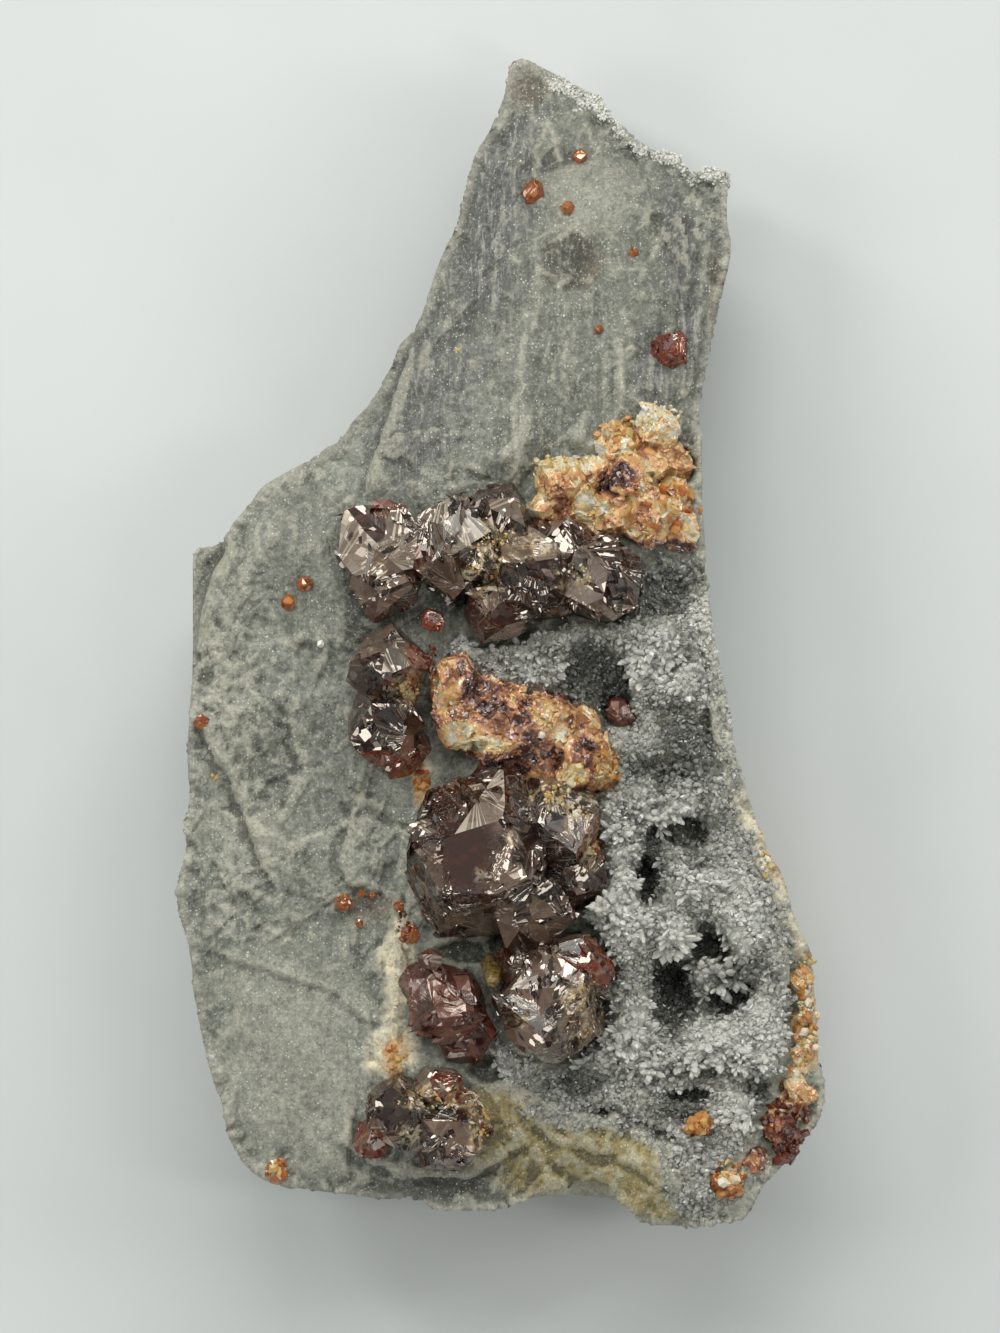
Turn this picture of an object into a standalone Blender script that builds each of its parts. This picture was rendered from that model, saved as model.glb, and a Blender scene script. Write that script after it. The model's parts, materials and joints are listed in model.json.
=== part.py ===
"""Garnet in matrix: dark garnets and a quartz druse on a slab of grey-green rock.

The slab lies on its flat back. +X runs across its face, +Y towards its narrow tip and +Z out
of the face. The origin is on the bed it rests on, under the middle of the whole specimen.
Everything is worked out in millimetres and becomes metres when an object is made.
"""

import math
import random
from collections import namedtuple

import bmesh
import bpy
from mathutils import Matrix, Vector, geometry, noise

# ---------------------------------------------------------------- driving sizes, in millimetres
TO_METRES = 0.001
GAP = 0.3  # clearance between one piece and the next

FACE_HEIGHT = 24.0  # from the bed to the rock's face, over the body of the slab
TIP_DROP = 10.0  # how much thinner the slab is at its tip
TAPER_FROM, TAPER_TO = 8.0, 62.0  # the stretch of Y over which it thins
EDGE_DROP, EDGE_WIDTH = 2.2, 3.2  # how the face rolls off at its broken edge
LEDGE_WIDTH = 0.7  # run of a ledge's steep face, seen from above
CREASE_FOOT, CREASE_HEAD = (1.5, 14.5), (3.1, 56.6)  # the fold in the upper face
CREASE_SLOPE = 0.17  # how steeply the rock falls away left of the fold

ROCK_SPACING = 5.4  # of the points that carry the face's relief
DRUSE_SPACING = 3.2
OUTLINE_SPACING = 4.5

CRUST_THICKNESS = 1.5  # of the quartz, apart from its points
CRUST_RIM = 0.4
CRUST_MARGIN = 0.55  # width of the bank of rock that runs round the crust
POINT_RISE = 1.3  # how far the tallest quartz points stand out of the crust

# The broken outline of the face, anticlockwise from the tip.
LEFT_SIDE = (
    (2.3, 61.6), (1.0, 61.2), (0.6, 58.9), (0.7, 56.4), (-1.6, 52.9), (-2.8, 51.0), (-3.8, 47.5),
    (-4.7, 43.5), (-6.9, 38.4), (-7.5, 36.2), (-9.0, 31.8), (-10.1, 31.8), (-11.2, 29.6),
    (-12.0, 27.0), (-14.0, 24.5), (-16.5, 21.6), (-17.0, 20.0), (-19.3, 19.4), (-21.4, 18.0),
    (-24.6, 16.3), (-28.3, 11.7), (-29.1, 9.6), (-32.3, 9.8), (-32.6, 5.4), (-32.3, 0.6),
    (-32.6, -7.6), (-33.0, -11.6), (-32.3, -16.6), (-33.4, -19.5), (-33.0, -22.0),
    (-34.2, -26.5), (-33.8, -29.1), (-32.4, -33.2), (-32.4, -36.0), (-31.0, -43.5),
    (-29.5, -47.7), (-28.8, -51.9), (-27.6, -54.3), (-25.8, -56.4),
)
BOTTOM_EDGE = (
    (-23.4, -57.6), (-17.8, -58.3), (-13.2, -58.9), (-8.6, -58.2), (-7.8, -60.0), (-4.0, -60.4),
    (0.8, -60.0), (3.6, -58.5), (7.0, -57.6), (10.4, -57.5), (11.5, -58.8), (13.3, -59.9),
    (14.5, -61.5), (20.2, -62.0), (24.0, -61.4), (25.9, -61.1),
)
RIGHT_SIDE = (
    (26.4, -59.9), (27.6, -57.5), (31.2, -53.6), (33.8, -50.2), (34.1, -48.5), (33.9, -43.6),
    (33.2, -36.8), (32.7, -32.6), (31.0, -30.2), (30.3, -27.0), (29.5, -24.4), (27.8, -22.1),
    (27.2, -19.6), (25.8, -18.1), (25.4, -14.9), (24.5, -11.5), (24.1, -7.8), (22.5, -0.5),
    (21.8, 4.5), (21.3, 11.4), (21.1, 16.0), (21.3, 20.4), (20.9, 23.3), (21.2, 26.1),
    (23.3, 36.4), (24.4, 41.2), (23.9, 43.8),
)
TOP_EDGE = (
    (24.2, 49.2), (21.5, 50.1), (21.2, 48.9), (20.0, 48.5), (19.1, 50.9), (17.6, 51.8),
    (15.6, 51.7), (13.4, 53.2), (11.3, 56.0), (10.6, 57.4), (7.8, 58.4), (5.9, 59.2), (4.1, 60.7),
)

# Where quartz crystals coat the rock, anticlockwise from under the upper garnets.
DRUSE_OUTLINE = (
    (14.0, 7.4), (8.5, 3.0), (3.0, 0.6), (-3.5, 1.2), (-6.0, -1.5), (-3.0, -4.5), (3.0, -8.0),
    (8.0, -14.0), (6.5, -22.0), (4.0, -29.5), (-0.5, -33.0), (-2.0, -41.5), (0.5, -46.6),
    (3.5, -48.4), (7.6, -50.1), (11.4, -49.4), (14.7, -50.8), (18.4, -52.4), (18.6, -58.3),
    (20.5, -60.4), (23.5, -59.6), (25.0, -57.0), (27.6, -53.5), (28.8, -50.0), (31.2, -47.5),
    (31.6, -43.6), (31.2, -37.0), (30.9, -33.5), (29.6, -30.2), (28.8, -27.0), (27.9, -24.8),
    (26.4, -22.4), (25.7, -19.9), (24.4, -17.8), (24.0, -14.9), (23.1, -11.4), (22.7, -7.8),
    (21.1, -0.5), (20.4, 4.5), (20.1, 7.6),
)

# A ledge is a line along which the rock steps down on the right-hand side of someone who walks it.
Ledge = namedtuple("Ledge", "line drop reach")
LEDGES = (
    Ledge(((-9.2, 31.0), (-11.2, 25.0), (-13.9, 16.7)), 1.1, 14.0),
    Ledge(((-27.8, 12.2), (-28.9, 9.0), (-30.2, 6.6), (-31.2, 3.1), (-31.7, -1.2)), 3.2, 20.0),
    Ledge(((-31.4, -10.0), (-28.6, -13.8), (-27.8, -16.2), (-26.0, -21.0), (-24.6, -24.1)), 1.3, 9.0),
    Ledge(((-15.4, -18.2), (-16.5, -22.2), (-16.7, -23.8), (-15.6, -25.9), (-13.8, -26.5)), 0.9, 7.0),
    Ledge(((-28.7, -33.4), (-22.6, -35.3), (-17.6, -36.9), (-14.6, -39.5), (-13.0, -40.2)), 0.5, 12.0),
    Ledge(((-22.8, -30.8), (-20.6, -29.2), (-19.1, -28.3)), 0.5, 5.0),
    Ledge(((-15.0, -54.0), (-10.5, -56.4), (-3.2, -56.6), (0.5, -54.4)), 1.4, 8.0),
    Ledge(((2.5, -49.8), (6.0, -53.0), (12.0, -54.2), (17.0, -57.5)), 1.0, 6.0),
)

# The deeper pockets in the druse.
Pocket = namedtuple("Pocket", "x y radius depth")
POCKETS = (
    Pocket(16.0, -3.5, 5.0, 3.0),
    Pocket(13.0, -8.0, 4.0, 3.2),
    Pocket(15.4, -25.5, 2.6, 3.4),
    Pocket(17.8, -35.4, 3.6, 5.0),
    Pocket(22.0, -32.6, 2.8, 4.2),
    Pocket(24.4, -37.6, 2.8, 4.2),
    Pocket(20.0, -38.5, 3.0, 4.6),
    Pocket(21.9, -20.8, 3.6, 2.6),
    Pocket(27.0, -46.8, 2.8, 2.4),
    Pocket(-1.5, -32.5, 2.5, 2.0),
)
SHELVES = (  # cushions of quartz that stand up between the pockets
    Pocket(15.6, 0.6, 4.5, -1.8),
    Pocket(10.5, -27.0, 4.5, -1.6),
    Pocket(19.0, -24.5, 4.2, -1.5),
    Pocket(17.6, -31.0, 3.0, -1.8),
    Pocket(11.5, -33.5, 4.0, -1.7),
    Pocket(22.0, -41.5, 3.0, -1.6),
    Pocket(13.6, -42.5, 3.6, -1.5),
    Pocket(27.0, -32.0, 4.0, -1.2),
)

# A garnet crystal: the place of its centre, how far that stands above the rock's face, the
# distance from centre to face, what it turns to the front, and its turn about the front axis.
Crystal = namedtuple("Crystal", "x y rise size front twist lean_to lean", defaults=(0.0, 0.0, 0.0))

GARNET_CLUSTERS = {
    "garnet_large": (
        Crystal(-2.4, -22.8, 0.9, 8.2, "face", 24, 195, 7),
        Crystal(5.6, -19.4, 1.4, 5.1, "face", 60, 30, 22),
        Crystal(3.2, -27.6, 0.8, 4.7, "corner", 10, 300, 20),
        Crystal(7.6, -24.6, 0.2, 3.7, "face", 15, 330, 30),
        Crystal(-0.5, -16.2, 0.6, 3.7, "corner", 65, 90, 18),
    ),
    "garnet_upper_left": (
        Crystal(-12.6, 9.6, 2.0, 4.9, "corner", 30, 90, 4),
        Crystal(-12.2, 5.6, 0.4, 3.9, "corner", 30, 270, 6),
    ),
    "garnet_upper_group": (
        Crystal(-4.6, 9.4, 1.8, 5.3, "corner", 100, 150, 10),
        Crystal(-0.2, 12.2, 1.2, 3.9, "face", 20, 60, 14),
        Crystal(3.2, 7.0, 1.0, 5.3, "face", 75, 240, 12),
        Crystal(10.2, 6.2, 1.2, 4.7, "corner", 40, 20, 16),
        Crystal(6.8, 9.2, 0.6, 3.8, "face", 130, 80, 20),
        Crystal(-0.4, 3.4, -0.6, 3.8, "corner", 20, 250, 22),
    ),
    "garnet_middle_left": (
        Crystal(-11.8, -3.0, 1.4, 4.2, "face", 35, 110, 14),
        Crystal(-12.1, -9.0, 1.2, 4.1, "face", 80, 210, 8),
        Crystal(-10.6, -11.4, 0.2, 3.1, "corner", 15, 300, 18),
    ),
    "garnet_lower_right": (
        Crystal(5.4, -38.4, 1.8, 5.9, "corner", 55, 230, 14),
        Crystal(7.6, -35.2, 0.8, 4.3, "face", 20, 60, 20),
        Crystal(2.2, -35.0, -0.4, 3.1, "corner", 20, 120, 12),
    ),
    "garnet_lower_left": (
        Crystal(-5.6, -38.6, 0.8, 4.3, "corner", 5, 180, 8),
        Crystal(-7.6, -36.6, 0.2, 2.8, "face", 40, 150, 18),
        Crystal(-3.8, -41.6, -0.2, 3.1, "face", 10, 260, 16),
        Crystal(-7.3, -33.9, 1.4, 1.4, "corner", 50, 140, 10),
    ),
    "garnet_bottom_group": (
        Crystal(-10.2, -49.8, 1.0, 3.9, "face", 50, 120, 12),
        Crystal(-5.2, -51.8, 1.2, 4.1, "face", 15, 250, 10),
        Crystal(-13.1, -52.6, 0.2, 2.4, "corner", 80, 200, 14),
        Crystal(-6.6, -47.2, 1.2, 2.7, "face", 70, 60, 16),
    ),
    "garnet_middle_mass": (
        Crystal(-4.8, -4.6, 1.4, 3.0, "face", 20, 110, 18),
        Crystal(-4.2, -8.4, 0.8, 3.2, "corner", 70, 210, 14),
        Crystal(0.6, -9.4, 1.2, 4.1, "face", 40, 190, 10),
        Crystal(5.0, -9.0, 0.8, 3.4, "corner", 10, 60, 16),
        Crystal(8.2, -12.8, 0.8, 3.8, "face", 95, 20, 16),
        Crystal(4.0, -13.0, 0.4, 3.2, "corner", 50, 280, 16),
    ),
    "orange_garnet_mass": (
        Crystal(6.3, 16.6, 0.2, 2.7, "face", 15, 120, 16),
        Crystal(5.4, 13.6, -0.4, 2.5, "corner", 60, 220, 20),
        Crystal(8.8, 14.2, -0.2, 2.4, "face", 70, 330, 18),
        Crystal(13.6, 17.0, 0.4, 3.1, "face", 50, 200, 20),
        Crystal(16.2, 21.8, -0.2, 2.7, "corner", 10, 60, 18),
        Crystal(18.2, 18.4, -0.6, 2.2, "face", 35, 30, 20),
        Crystal(12.0, 13.4, 0.2, 2.7, "face", 85, 240, 16),
        Crystal(15.8, 13.2, 0.4, 3.3, "corner", 40, 300, 16),
        Crystal(18.4, 11.6, -0.4, 2.4, "corner", 75, 330, 20),
    ),
    "edge_garnet_vein": (
        Crystal(31.5, -36.0, -1.4, 1.9, "corner", 20, 20, 20),
        Crystal(31.9, -39.8, -1.6, 2.1, "face", 60, 10, 25),
        Crystal(31.8, -43.8, -1.5, 2.2, "corner", 75, 20, 20),
        Crystal(31.1, -47.8, -1.2, 2.4, "face", 30, 350, 25),
        Crystal(29.0, -51.4, -1.0, 2.4, "corner", 45, 330, 20),
        Crystal(26.7, -55.0, -1.3, 2.2, "face", 10, 320, 20),
    ),
}

# Single crystals scattered over the rock: name, place, rise and size.
Scattered = namedtuple("Scattered", "name x y rise size")
SCATTERED_GARNETS = (
    Scattered("small_garnet_tip_large", 3.6, 47.1, -0.5, 1.45),
    Scattered("small_garnet_tip_upper", 8.4, 51.0, 0.1, 0.78),
    Scattered("small_garnet_tip_lower", 7.1, 45.4, 0.1, 0.78),
    Scattered("small_garnet_tip_right", 14.0, 40.7, 0.0, 0.5),
    Scattered("small_garnet_speck", 10.4, 32.6, 0.0, 0.45),
    Scattered("small_garnet_right", 17.9, 30.2, -0.2, 2.05),
    Scattered("small_garnet_left_upper", -20.6, 5.8, 0.2, 0.82),
    Scattered("small_garnet_left_lower", -22.3, 3.8, 0.2, 0.82),
    Scattered("small_garnet_left_edge", -31.4, -8.7, -0.2, 0.85),
    Scattered("small_garnet_between", -7.1, 1.9, 0.6, 1.25),
    Scattered("small_garnet_in_druse", 12.6, -7.8, -1.2, 1.7),
    Scattered("small_garnet_low_one", -16.4, -27.7, 0.2, 0.9),
    Scattered("small_garnet_low_two", -14.6, -26.8, 0.1, 0.42),
    Scattered("small_garnet_low_three", -13.5, -27.0, 0.1, 0.36),
    Scattered("small_garnet_low_four", -14.8, -29.9, 0.1, 0.4),
    Scattered("small_garnet_low_five", -10.7, -28.1, 0.2, 0.6),
    Scattered("small_garnet_seam", -9.5, -31.0, 0.2, 1.0),
    Scattered("small_garnet_bottom_left", -23.6, -56.0, -0.4, 1.3),
    Scattered("small_garnet_bottom_right", 23.6, -57.2, 0.2, 1.5),
    Scattered("small_garnet_bottom_druse", 20.9, -51.2, 0.0, 1.2),
)

SOCKET_MARGIN = 0.8  # a form that comes this near to the rock's face has a socket in it
SEAT_DEPTH = 2.4  # how far the garnet groups reach down into the rock, to a flat seat
SHOOTS_PER_CRYSTAL = 3  # small parallel crystals grown on the corners of a large one
SHOOT_SIZES = (0.30, 0.44)  # as a share of the crystal that carries them
SHOOT_SEAT = 0.90  # how far out their centres lie, in crystal sizes
SHOOT_BAND = (0.30, 0.78)  # they grow on corners that point up this much, and leave the top clear
SHOOT_MISFIT = 4.0  # degrees by which they turn away from their carrier
SMALLEST_CARRIER = 5.2  # crystals under this size carry no shoots and keep sharp edges
EDGE_BEVEL = 1.10  # distance of the bevel faces, where 1.155 would leave the edges sharp
UNEVEN = 0.07  # how unequally the faces of one crystal have grown

COLOURS = {
    "rock": ((0.30, 0.32, 0.30), 0.75),
    "quartz": ((0.62, 0.64, 0.62), 0.25),
    "dark_garnet": ((0.075, 0.032, 0.028), 0.18),
    "red_garnet": ((0.22, 0.035, 0.02), 0.18),
    "orange_garnet": ((0.55, 0.17, 0.05), 0.3),
    "epidote": ((0.36, 0.28, 0.09), 0.3),
}
SHADE_OF_CLUSTER = {
    "garnet_lower_left": "red_garnet",
    "orange_garnet_mass": "orange_garnet",
    "edge_garnet_vein": "orange_garnet",
}
DARK_SCATTERED = {"small_garnet_right", "small_garnet_between", "small_garnet_in_druse"}


# ---------------------------------------------------------------- plane geometry
def outline_points():
    """The face's outline, with its long stretches divided."""
    corners = [Vector(p) for p in LEFT_SIDE + BOTTOM_EDGE + RIGHT_SIDE + TOP_EDGE]
    points = []
    for start, end in zip(corners, corners[1:] + corners[:1]):
        steps = max(1, math.ceil((end - start).length / OUTLINE_SPACING))
        points += [start.lerp(end, step / steps) for step in range(steps)]
    return points


def nearest_on_line(point, line, closed=False):
    """How far a point lies from a line of points, on which side (+1 right), and past which end."""
    ends = line[1:] + line[:1] if closed else line[1:]
    best = (math.inf, 1.0, 0.0)
    for number, (start, end) in enumerate(zip(line, ends)):
        along = end - start
        share = (point - start).dot(along) / along.length_squared
        offset = point - start.lerp(end, min(max(share, 0.0), 1.0))
        if offset.length < best[0]:
            side = 1.0 if along.x * offset.y - along.y * offset.x < 0 else -1.0
            before = -share if number == 0 and share < 0 else 0.0
            after = share - 1 if number == len(ends) - 1 and share > 1 else 0.0
            best = (offset.length, side, (before + after) * along.length)
    return best


def inside(point, polygon):
    """Whether a point lies inside a polygon, by counting the edges to its right."""
    crossings = 0
    for a, b in zip(polygon, polygon[1:] + polygon[:1]):
        if (a.y > point.y) != (b.y > point.y):
            crossings += point.x < a.x + (point.y - a.y) * (b.x - a.x) / (b.y - a.y)
    return crossings % 2 == 1


def ramp(value, low, high):
    """0 at low, 1 at high, and smooth between."""
    share = min(max((value - low) / (high - low), 0.0), 1.0)
    return share * share * (3 - 2 * share)


OUTLINE = outline_points()
DRUSE = [Vector(p) for p in DRUSE_OUTLINE]
LEDGE_LINES = [[Vector(p) for p in ledge.line] for ledge in LEDGES]


# ---------------------------------------------------------------- the rock's relief
def undulation(x, y, length, seed):
    return noise.noise(Vector((x / length, y / length, seed)))


def ledge_step(point):
    """How far the ledges let the rock down at a point."""
    fall = 0.0
    for ledge, line in zip(LEDGES, LEDGE_LINES):
        distance, side, past = nearest_on_line(point, line)
        if side > 0:
            steep = min(distance / LEDGE_WIDTH, 1.0)
            fall += ledge.drop * steep * math.exp(-distance / ledge.reach) * ramp(past, 3.5, 0.0)
    return fall


def crease_fall(x, y):
    """The upper face is folded, and falls away to the left of the fold."""
    (foot_x, foot_y), (head_x, head_y) = CREASE_FOOT, CREASE_HEAD
    line_x = foot_x + (y - foot_y) * (head_x - foot_x) / (head_y - foot_y)
    return CREASE_SLOPE * max(line_x - x, 0.0) * ramp(y, 8.0, 24.0)


def face_height(x, y):
    """Height of the rock's face over the bed, as it would be with no druse."""
    point = Vector((x, y))
    height = FACE_HEIGHT - TIP_DROP * ramp(y, TAPER_FROM, TAPER_TO)
    height += 1.1 * undulation(x, y, 17.0, 3.0) + 0.45 * undulation(x, y, 6.0, 8.0)
    edge = nearest_on_line(point, OUTLINE, closed=True)[0]
    height -= EDGE_DROP * (1 - ramp(edge, -0.6, EDGE_WIDTH + undulation(x, y, 9.0, 5.0)))
    return height - ledge_step(point) - crease_fall(x, y)


def in_druse(point):
    """Whether a point lies inside the druse's outline or on it."""
    return inside(point, DRUSE) or nearest_on_line(point, DRUSE, closed=True)[0] < 0.01


def druse_depth(point):
    """How far a point lies inside the druse's outline, and 0 outside it."""
    return nearest_on_line(point, DRUSE, closed=True)[0] if inside(point, DRUSE) else 0.0


def pocket_depth(point):
    depth = 0.0
    for pocket in POCKETS + SHELVES:
        share = (point - Vector((pocket.x, pocket.y))).length / pocket.radius
        depth += pocket.depth * max(1 - share * share, 0.0) ** 2
    return depth


def crust_height(x, y):
    """Height of the quartz crust between its points."""
    point = Vector((x, y))
    sunk = 1.2 * ramp(druse_depth(point), 0.0, 4.0)
    return face_height(x, y) - sunk - pocket_depth(point) * ramp(druse_depth(point), 0.0, 2.0)


def rock_height(x, y):
    """Height of the rock itself, which is lower under the druse by the crust's thickness."""
    depth = druse_depth(Vector((x, y)))
    if not in_druse(Vector((x, y))):
        return face_height(x, y)
    crust = CRUST_RIM + (CRUST_THICKNESS - CRUST_RIM) * ramp(depth, 0.0, 2.5)
    return crust_height(x, y) - crust - GAP


# ---------------------------------------------------------------- meshes
def face_points(rng):
    """Points inside the outline, closer together where the druse is."""
    points = []
    for spacing, wanted_in_druse in ((ROCK_SPACING, False), (DRUSE_SPACING, True)):
        rows = int(130 / (spacing * 0.866))
        for row in range(rows):
            y = -64 + row * spacing * 0.866
            for column in range(int(74 / spacing)):
                x = -36 + (column + 0.5 * (row % 2)) * spacing
                jitter = Vector((rng.uniform(-1, 1), rng.uniform(-1, 1))) * spacing * 0.22
                point = Vector((x, y)) + jitter
                if not inside(point, OUTLINE) or inside(point, DRUSE) != wanted_in_druse:
                    continue
                clear_of_edge = nearest_on_line(point, OUTLINE, closed=True)[0] > spacing * 0.5
                clear_of_druse = nearest_on_line(point, DRUSE, closed=True)[0] > spacing * 0.4
                clear_of_ledges = all(
                    nearest_on_line(point, line)[0] > LEDGE_WIDTH * 1.6 for line in LEDGE_LINES
                )
                if clear_of_edge and clear_of_druse and clear_of_ledges:
                    points.append(point)
    return points


def beside(line, distance, closed=False):
    """A copy of a line, moved to its right."""
    moved = []
    for number, point in enumerate(line):
        if closed:
            along = line[(number + 1) % len(line)] - line[number - 1]
        else:
            along = line[min(number + 1, len(line) - 1)] - line[max(number - 1, 0)]
        moved.append(point + Vector((along.y, -along.x)).normalized() * distance)
    return moved


def face_triangles():
    """The face seen from above, as points and triangles that follow the outline and the ledges."""
    points, edges = [], []

    def add_line(line, closed):
        first = len(points)
        points.extend(line)
        count = len(line)
        edges.extend((first + n, first + (n + 1) % count) for n in range(count if closed else count - 1))

    add_line(OUTLINE, True)
    add_line(DRUSE, True)
    add_line(beside(DRUSE, CRUST_MARGIN, closed=True), True)
    for line in LEDGE_LINES:
        add_line(line, False)
        add_line(beside(line, LEDGE_WIDTH), False)
    points += face_points(random.Random(11))
    found, _, triangles, *_ = geometry.delaunay_2d_cdt(points, edges, [], 1, 1e-4)
    return found, triangles


def smoothed(loop, passes):
    """A closed loop of points, with each drawn towards its neighbours again and again."""
    for _ in range(passes):
        loop = [
            (loop[n - 1] + loop[n] * 2 + loop[(n + 1) % len(loop)]) / 4 for n in range(len(loop))
        ]
    return loop


def side_ring(loop, passes, inset, roughness, seed):
    """The slab's broken side at one level: the outline, smoothed, drawn in and roughened."""
    soft = smoothed(loop, passes)
    ring = []
    for number, point in enumerate(soft):
        along = soft[(number + 1) % len(soft)] - soft[number - 1]
        outward = Vector((along.y, -along.x)).normalized()
        rough = roughness * undulation(point.x, point.y, 4.5, seed)
        ring.append(point + outward * (rough - inset))
    return ring


def boundary_loop(bm):
    """The points of a sheet's edge, in order, anticlockwise."""
    following = {}
    for edge in bm.edges:
        if edge.is_boundary:
            loop = edge.link_loops[0]
            following[loop.vert] = loop.link_loop_next.vert
    start = next(iter(following))
    ordered = [start]
    while following[ordered[-1]] is not start:
        ordered.append(following[ordered[-1]])
    return ordered


# Rings of the side from the face down: passes of smoothing, inset, roughness and share of height.
SIDE_RINGS = ((3, 0.6, 2.0, 0.66), (14, 1.8, 2.6, 0.26))
BACK_RING = (30, 5.0, 1.2)


def rock_slab(found, triangles):
    """The matrix: the relief of its face, its broken sides and its flat back."""
    bm = bmesh.new()
    face = [bm.verts.new((p.x, p.y, rock_height(p.x, p.y))) for p in found]
    for triangle in triangles:
        bm.faces.new([face[n] for n in triangle])
    upper = boundary_loop(bm)
    flat = [Vector((v.co.x, v.co.y)) for v in upper]
    edge_heights = [v.co.z for v in upper]
    levels = []
    for number, (passes, inset, roughness, share) in enumerate(SIDE_RINGS):
        ring = side_ring(flat, passes, inset, roughness, 20.0 + number)
        levels.append([(p.x, p.y, h * share) for p, h in zip(ring, edge_heights)])
    back = side_ring(flat, *BACK_RING, 30.0)
    levels.append([(p.x, p.y, 0.0) for p in back])
    for level in levels:
        lower = [bm.verts.new(p) for p in level]
        for n in range(len(upper)):
            after = (n + 1) % len(upper)
            bm.faces.new((upper[after], upper[n], lower[n], lower[after]))
        upper = lower
    bm.faces.new(upper[::-1])
    bmesh.ops.triangulate(bm, faces=bm.faces[:])
    return bm


def druse_crust(found, triangles, rng):
    """The quartz crust, whose upper side stands up in points, over the same triangles as the rock."""
    bm = bmesh.new()
    chosen = []
    for triangle in triangles:
        middle = sum((found[n] for n in triangle), Vector((0, 0))) / 3
        if inside(middle, DRUSE):
            chosen.append(triangle)
    used = sorted({n for triangle in chosen for n in triangle})
    upper, lower = {}, {}
    for n in used:
        x, y = found[n]
        depth = druse_depth(Vector((x, y)))
        rise = POINT_RISE * rng.random() ** 1.5 * ramp(depth, 0.0, 1.0)
        lower[n] = bm.verts.new((x, y, rock_height(x, y) + GAP))
        upper[n] = bm.verts.new((x, y, crust_height(x, y) + rise))
    for a, b, c in chosen:
        bm.faces.new((upper[a], upper[b], upper[c]))
        bm.faces.new((lower[c], lower[b], lower[a]))
    numbers = {vert: n for n, vert in upper.items()}
    rim = [(edge, edge.link_loops[0]) for edge in bm.edges if edge.is_boundary]
    for _, loop in rim:
        if loop.vert in numbers:
            a, b = numbers[loop.vert], numbers[loop.link_loop_next.vert]
            bm.faces.new((upper[b], upper[a], lower[a], lower[b]))
    return bm


# ---------------------------------------------------------------- garnet crystals
def signed_forms(a, b, c):
    """Every direction with these three indices, in any order and with any signs."""
    found = set()
    for i, j, k in {(a, b, c), (b, c, a), (c, a, b), (a, c, b), (b, a, c), (c, b, a)}:
        for signs in range(8):
            found.add((i * (1 - 2 * (signs & 1)), j * (1 - (signs & 2)), k * (1 - (signs & 4) // 2)))
    return [Vector(d).normalized() for d in sorted(found)]


RHOMBIC_FACES = signed_forms(1, 1, 0)
BEVEL_FACES = signed_forms(2, 1, 1)
CORNERS = signed_forms(1, 1, 1) + signed_forms(1, 0, 0)
FRONTS = {"face": Vector((1, 1, 0)), "corner": Vector((1, 1, 1)), "peak": Vector((1, 0, 0))}


def clipped(bm, normal, distance):
    """Cuts away what lies beyond a plane at this distance from the origin, and caps the cut."""
    cut = bmesh.ops.bisect_plane(
        bm,
        geom=bm.verts[:] + bm.edges[:] + bm.faces[:],
        plane_co=normal * distance,
        plane_no=normal,
        clear_outer=True,
    )
    rim = [part for part in cut["geom_cut"] if isinstance(part, bmesh.types.BMEdge)]
    if rim:
        bmesh.ops.contextual_create(bm, geom=rim)


def garnet_form(size, seed, grow, bevelled):
    """One garnet crystal about the origin: twelve rhombic faces, with their edges bevelled."""
    rng = random.Random(seed)
    bm = bmesh.new()
    bmesh.ops.create_cube(bm, size=size * 8)
    for normal in RHOMBIC_FACES:
        clipped(bm, normal, size * rng.uniform(1 - UNEVEN, 1 + UNEVEN) + grow)
    if bevelled:
        for normal in BEVEL_FACES:
            clipped(bm, normal, size * rng.uniform(EDGE_BEVEL - 0.03, EDGE_BEVEL + 0.04) + grow)
    return bm


def crystal_turn(crystal):
    """The rotation that turns a crystal's chosen side to the front, then twists and leans it."""
    to_front = FRONTS[crystal.front].normalized().rotation_difference(Vector((0, 0, 1)))
    lean_axis = Matrix.Rotation(math.radians(crystal.lean_to + 90), 3, "Z") @ Vector((1, 0, 0))
    twist = Matrix.Rotation(math.radians(crystal.twist), 4, "Z")
    leant = Matrix.Rotation(math.radians(crystal.lean), 4, lean_axis)
    return leant @ twist @ to_front.to_matrix().to_4x4()


def shoots_of(crystal, place, turn, seed):
    """Small crystals that grew on a larger one, nearly parallel to it: their places, turns, sizes."""
    if crystal.size < SMALLEST_CARRIER:
        return []
    rng = random.Random(seed)
    shoots = []
    corners = [turn @ corner for corner in CORNERS]
    corners = [outward for outward in corners if SHOOT_BAND[0] < outward.z < SHOOT_BAND[1]]
    for outward in rng.sample(corners, min(SHOOTS_PER_CRYSTAL, len(corners))):
        misfit = Matrix.Rotation(math.radians(rng.uniform(-1, 1) * SHOOT_MISFIT), 4, outward.yzx)
        size = crystal.size * rng.uniform(*SHOOT_SIZES)
        seat = crystal.size * SHOOT_SEAT
        shoots.append((place + outward * seat, misfit @ turn, size))
    return shoots


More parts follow.
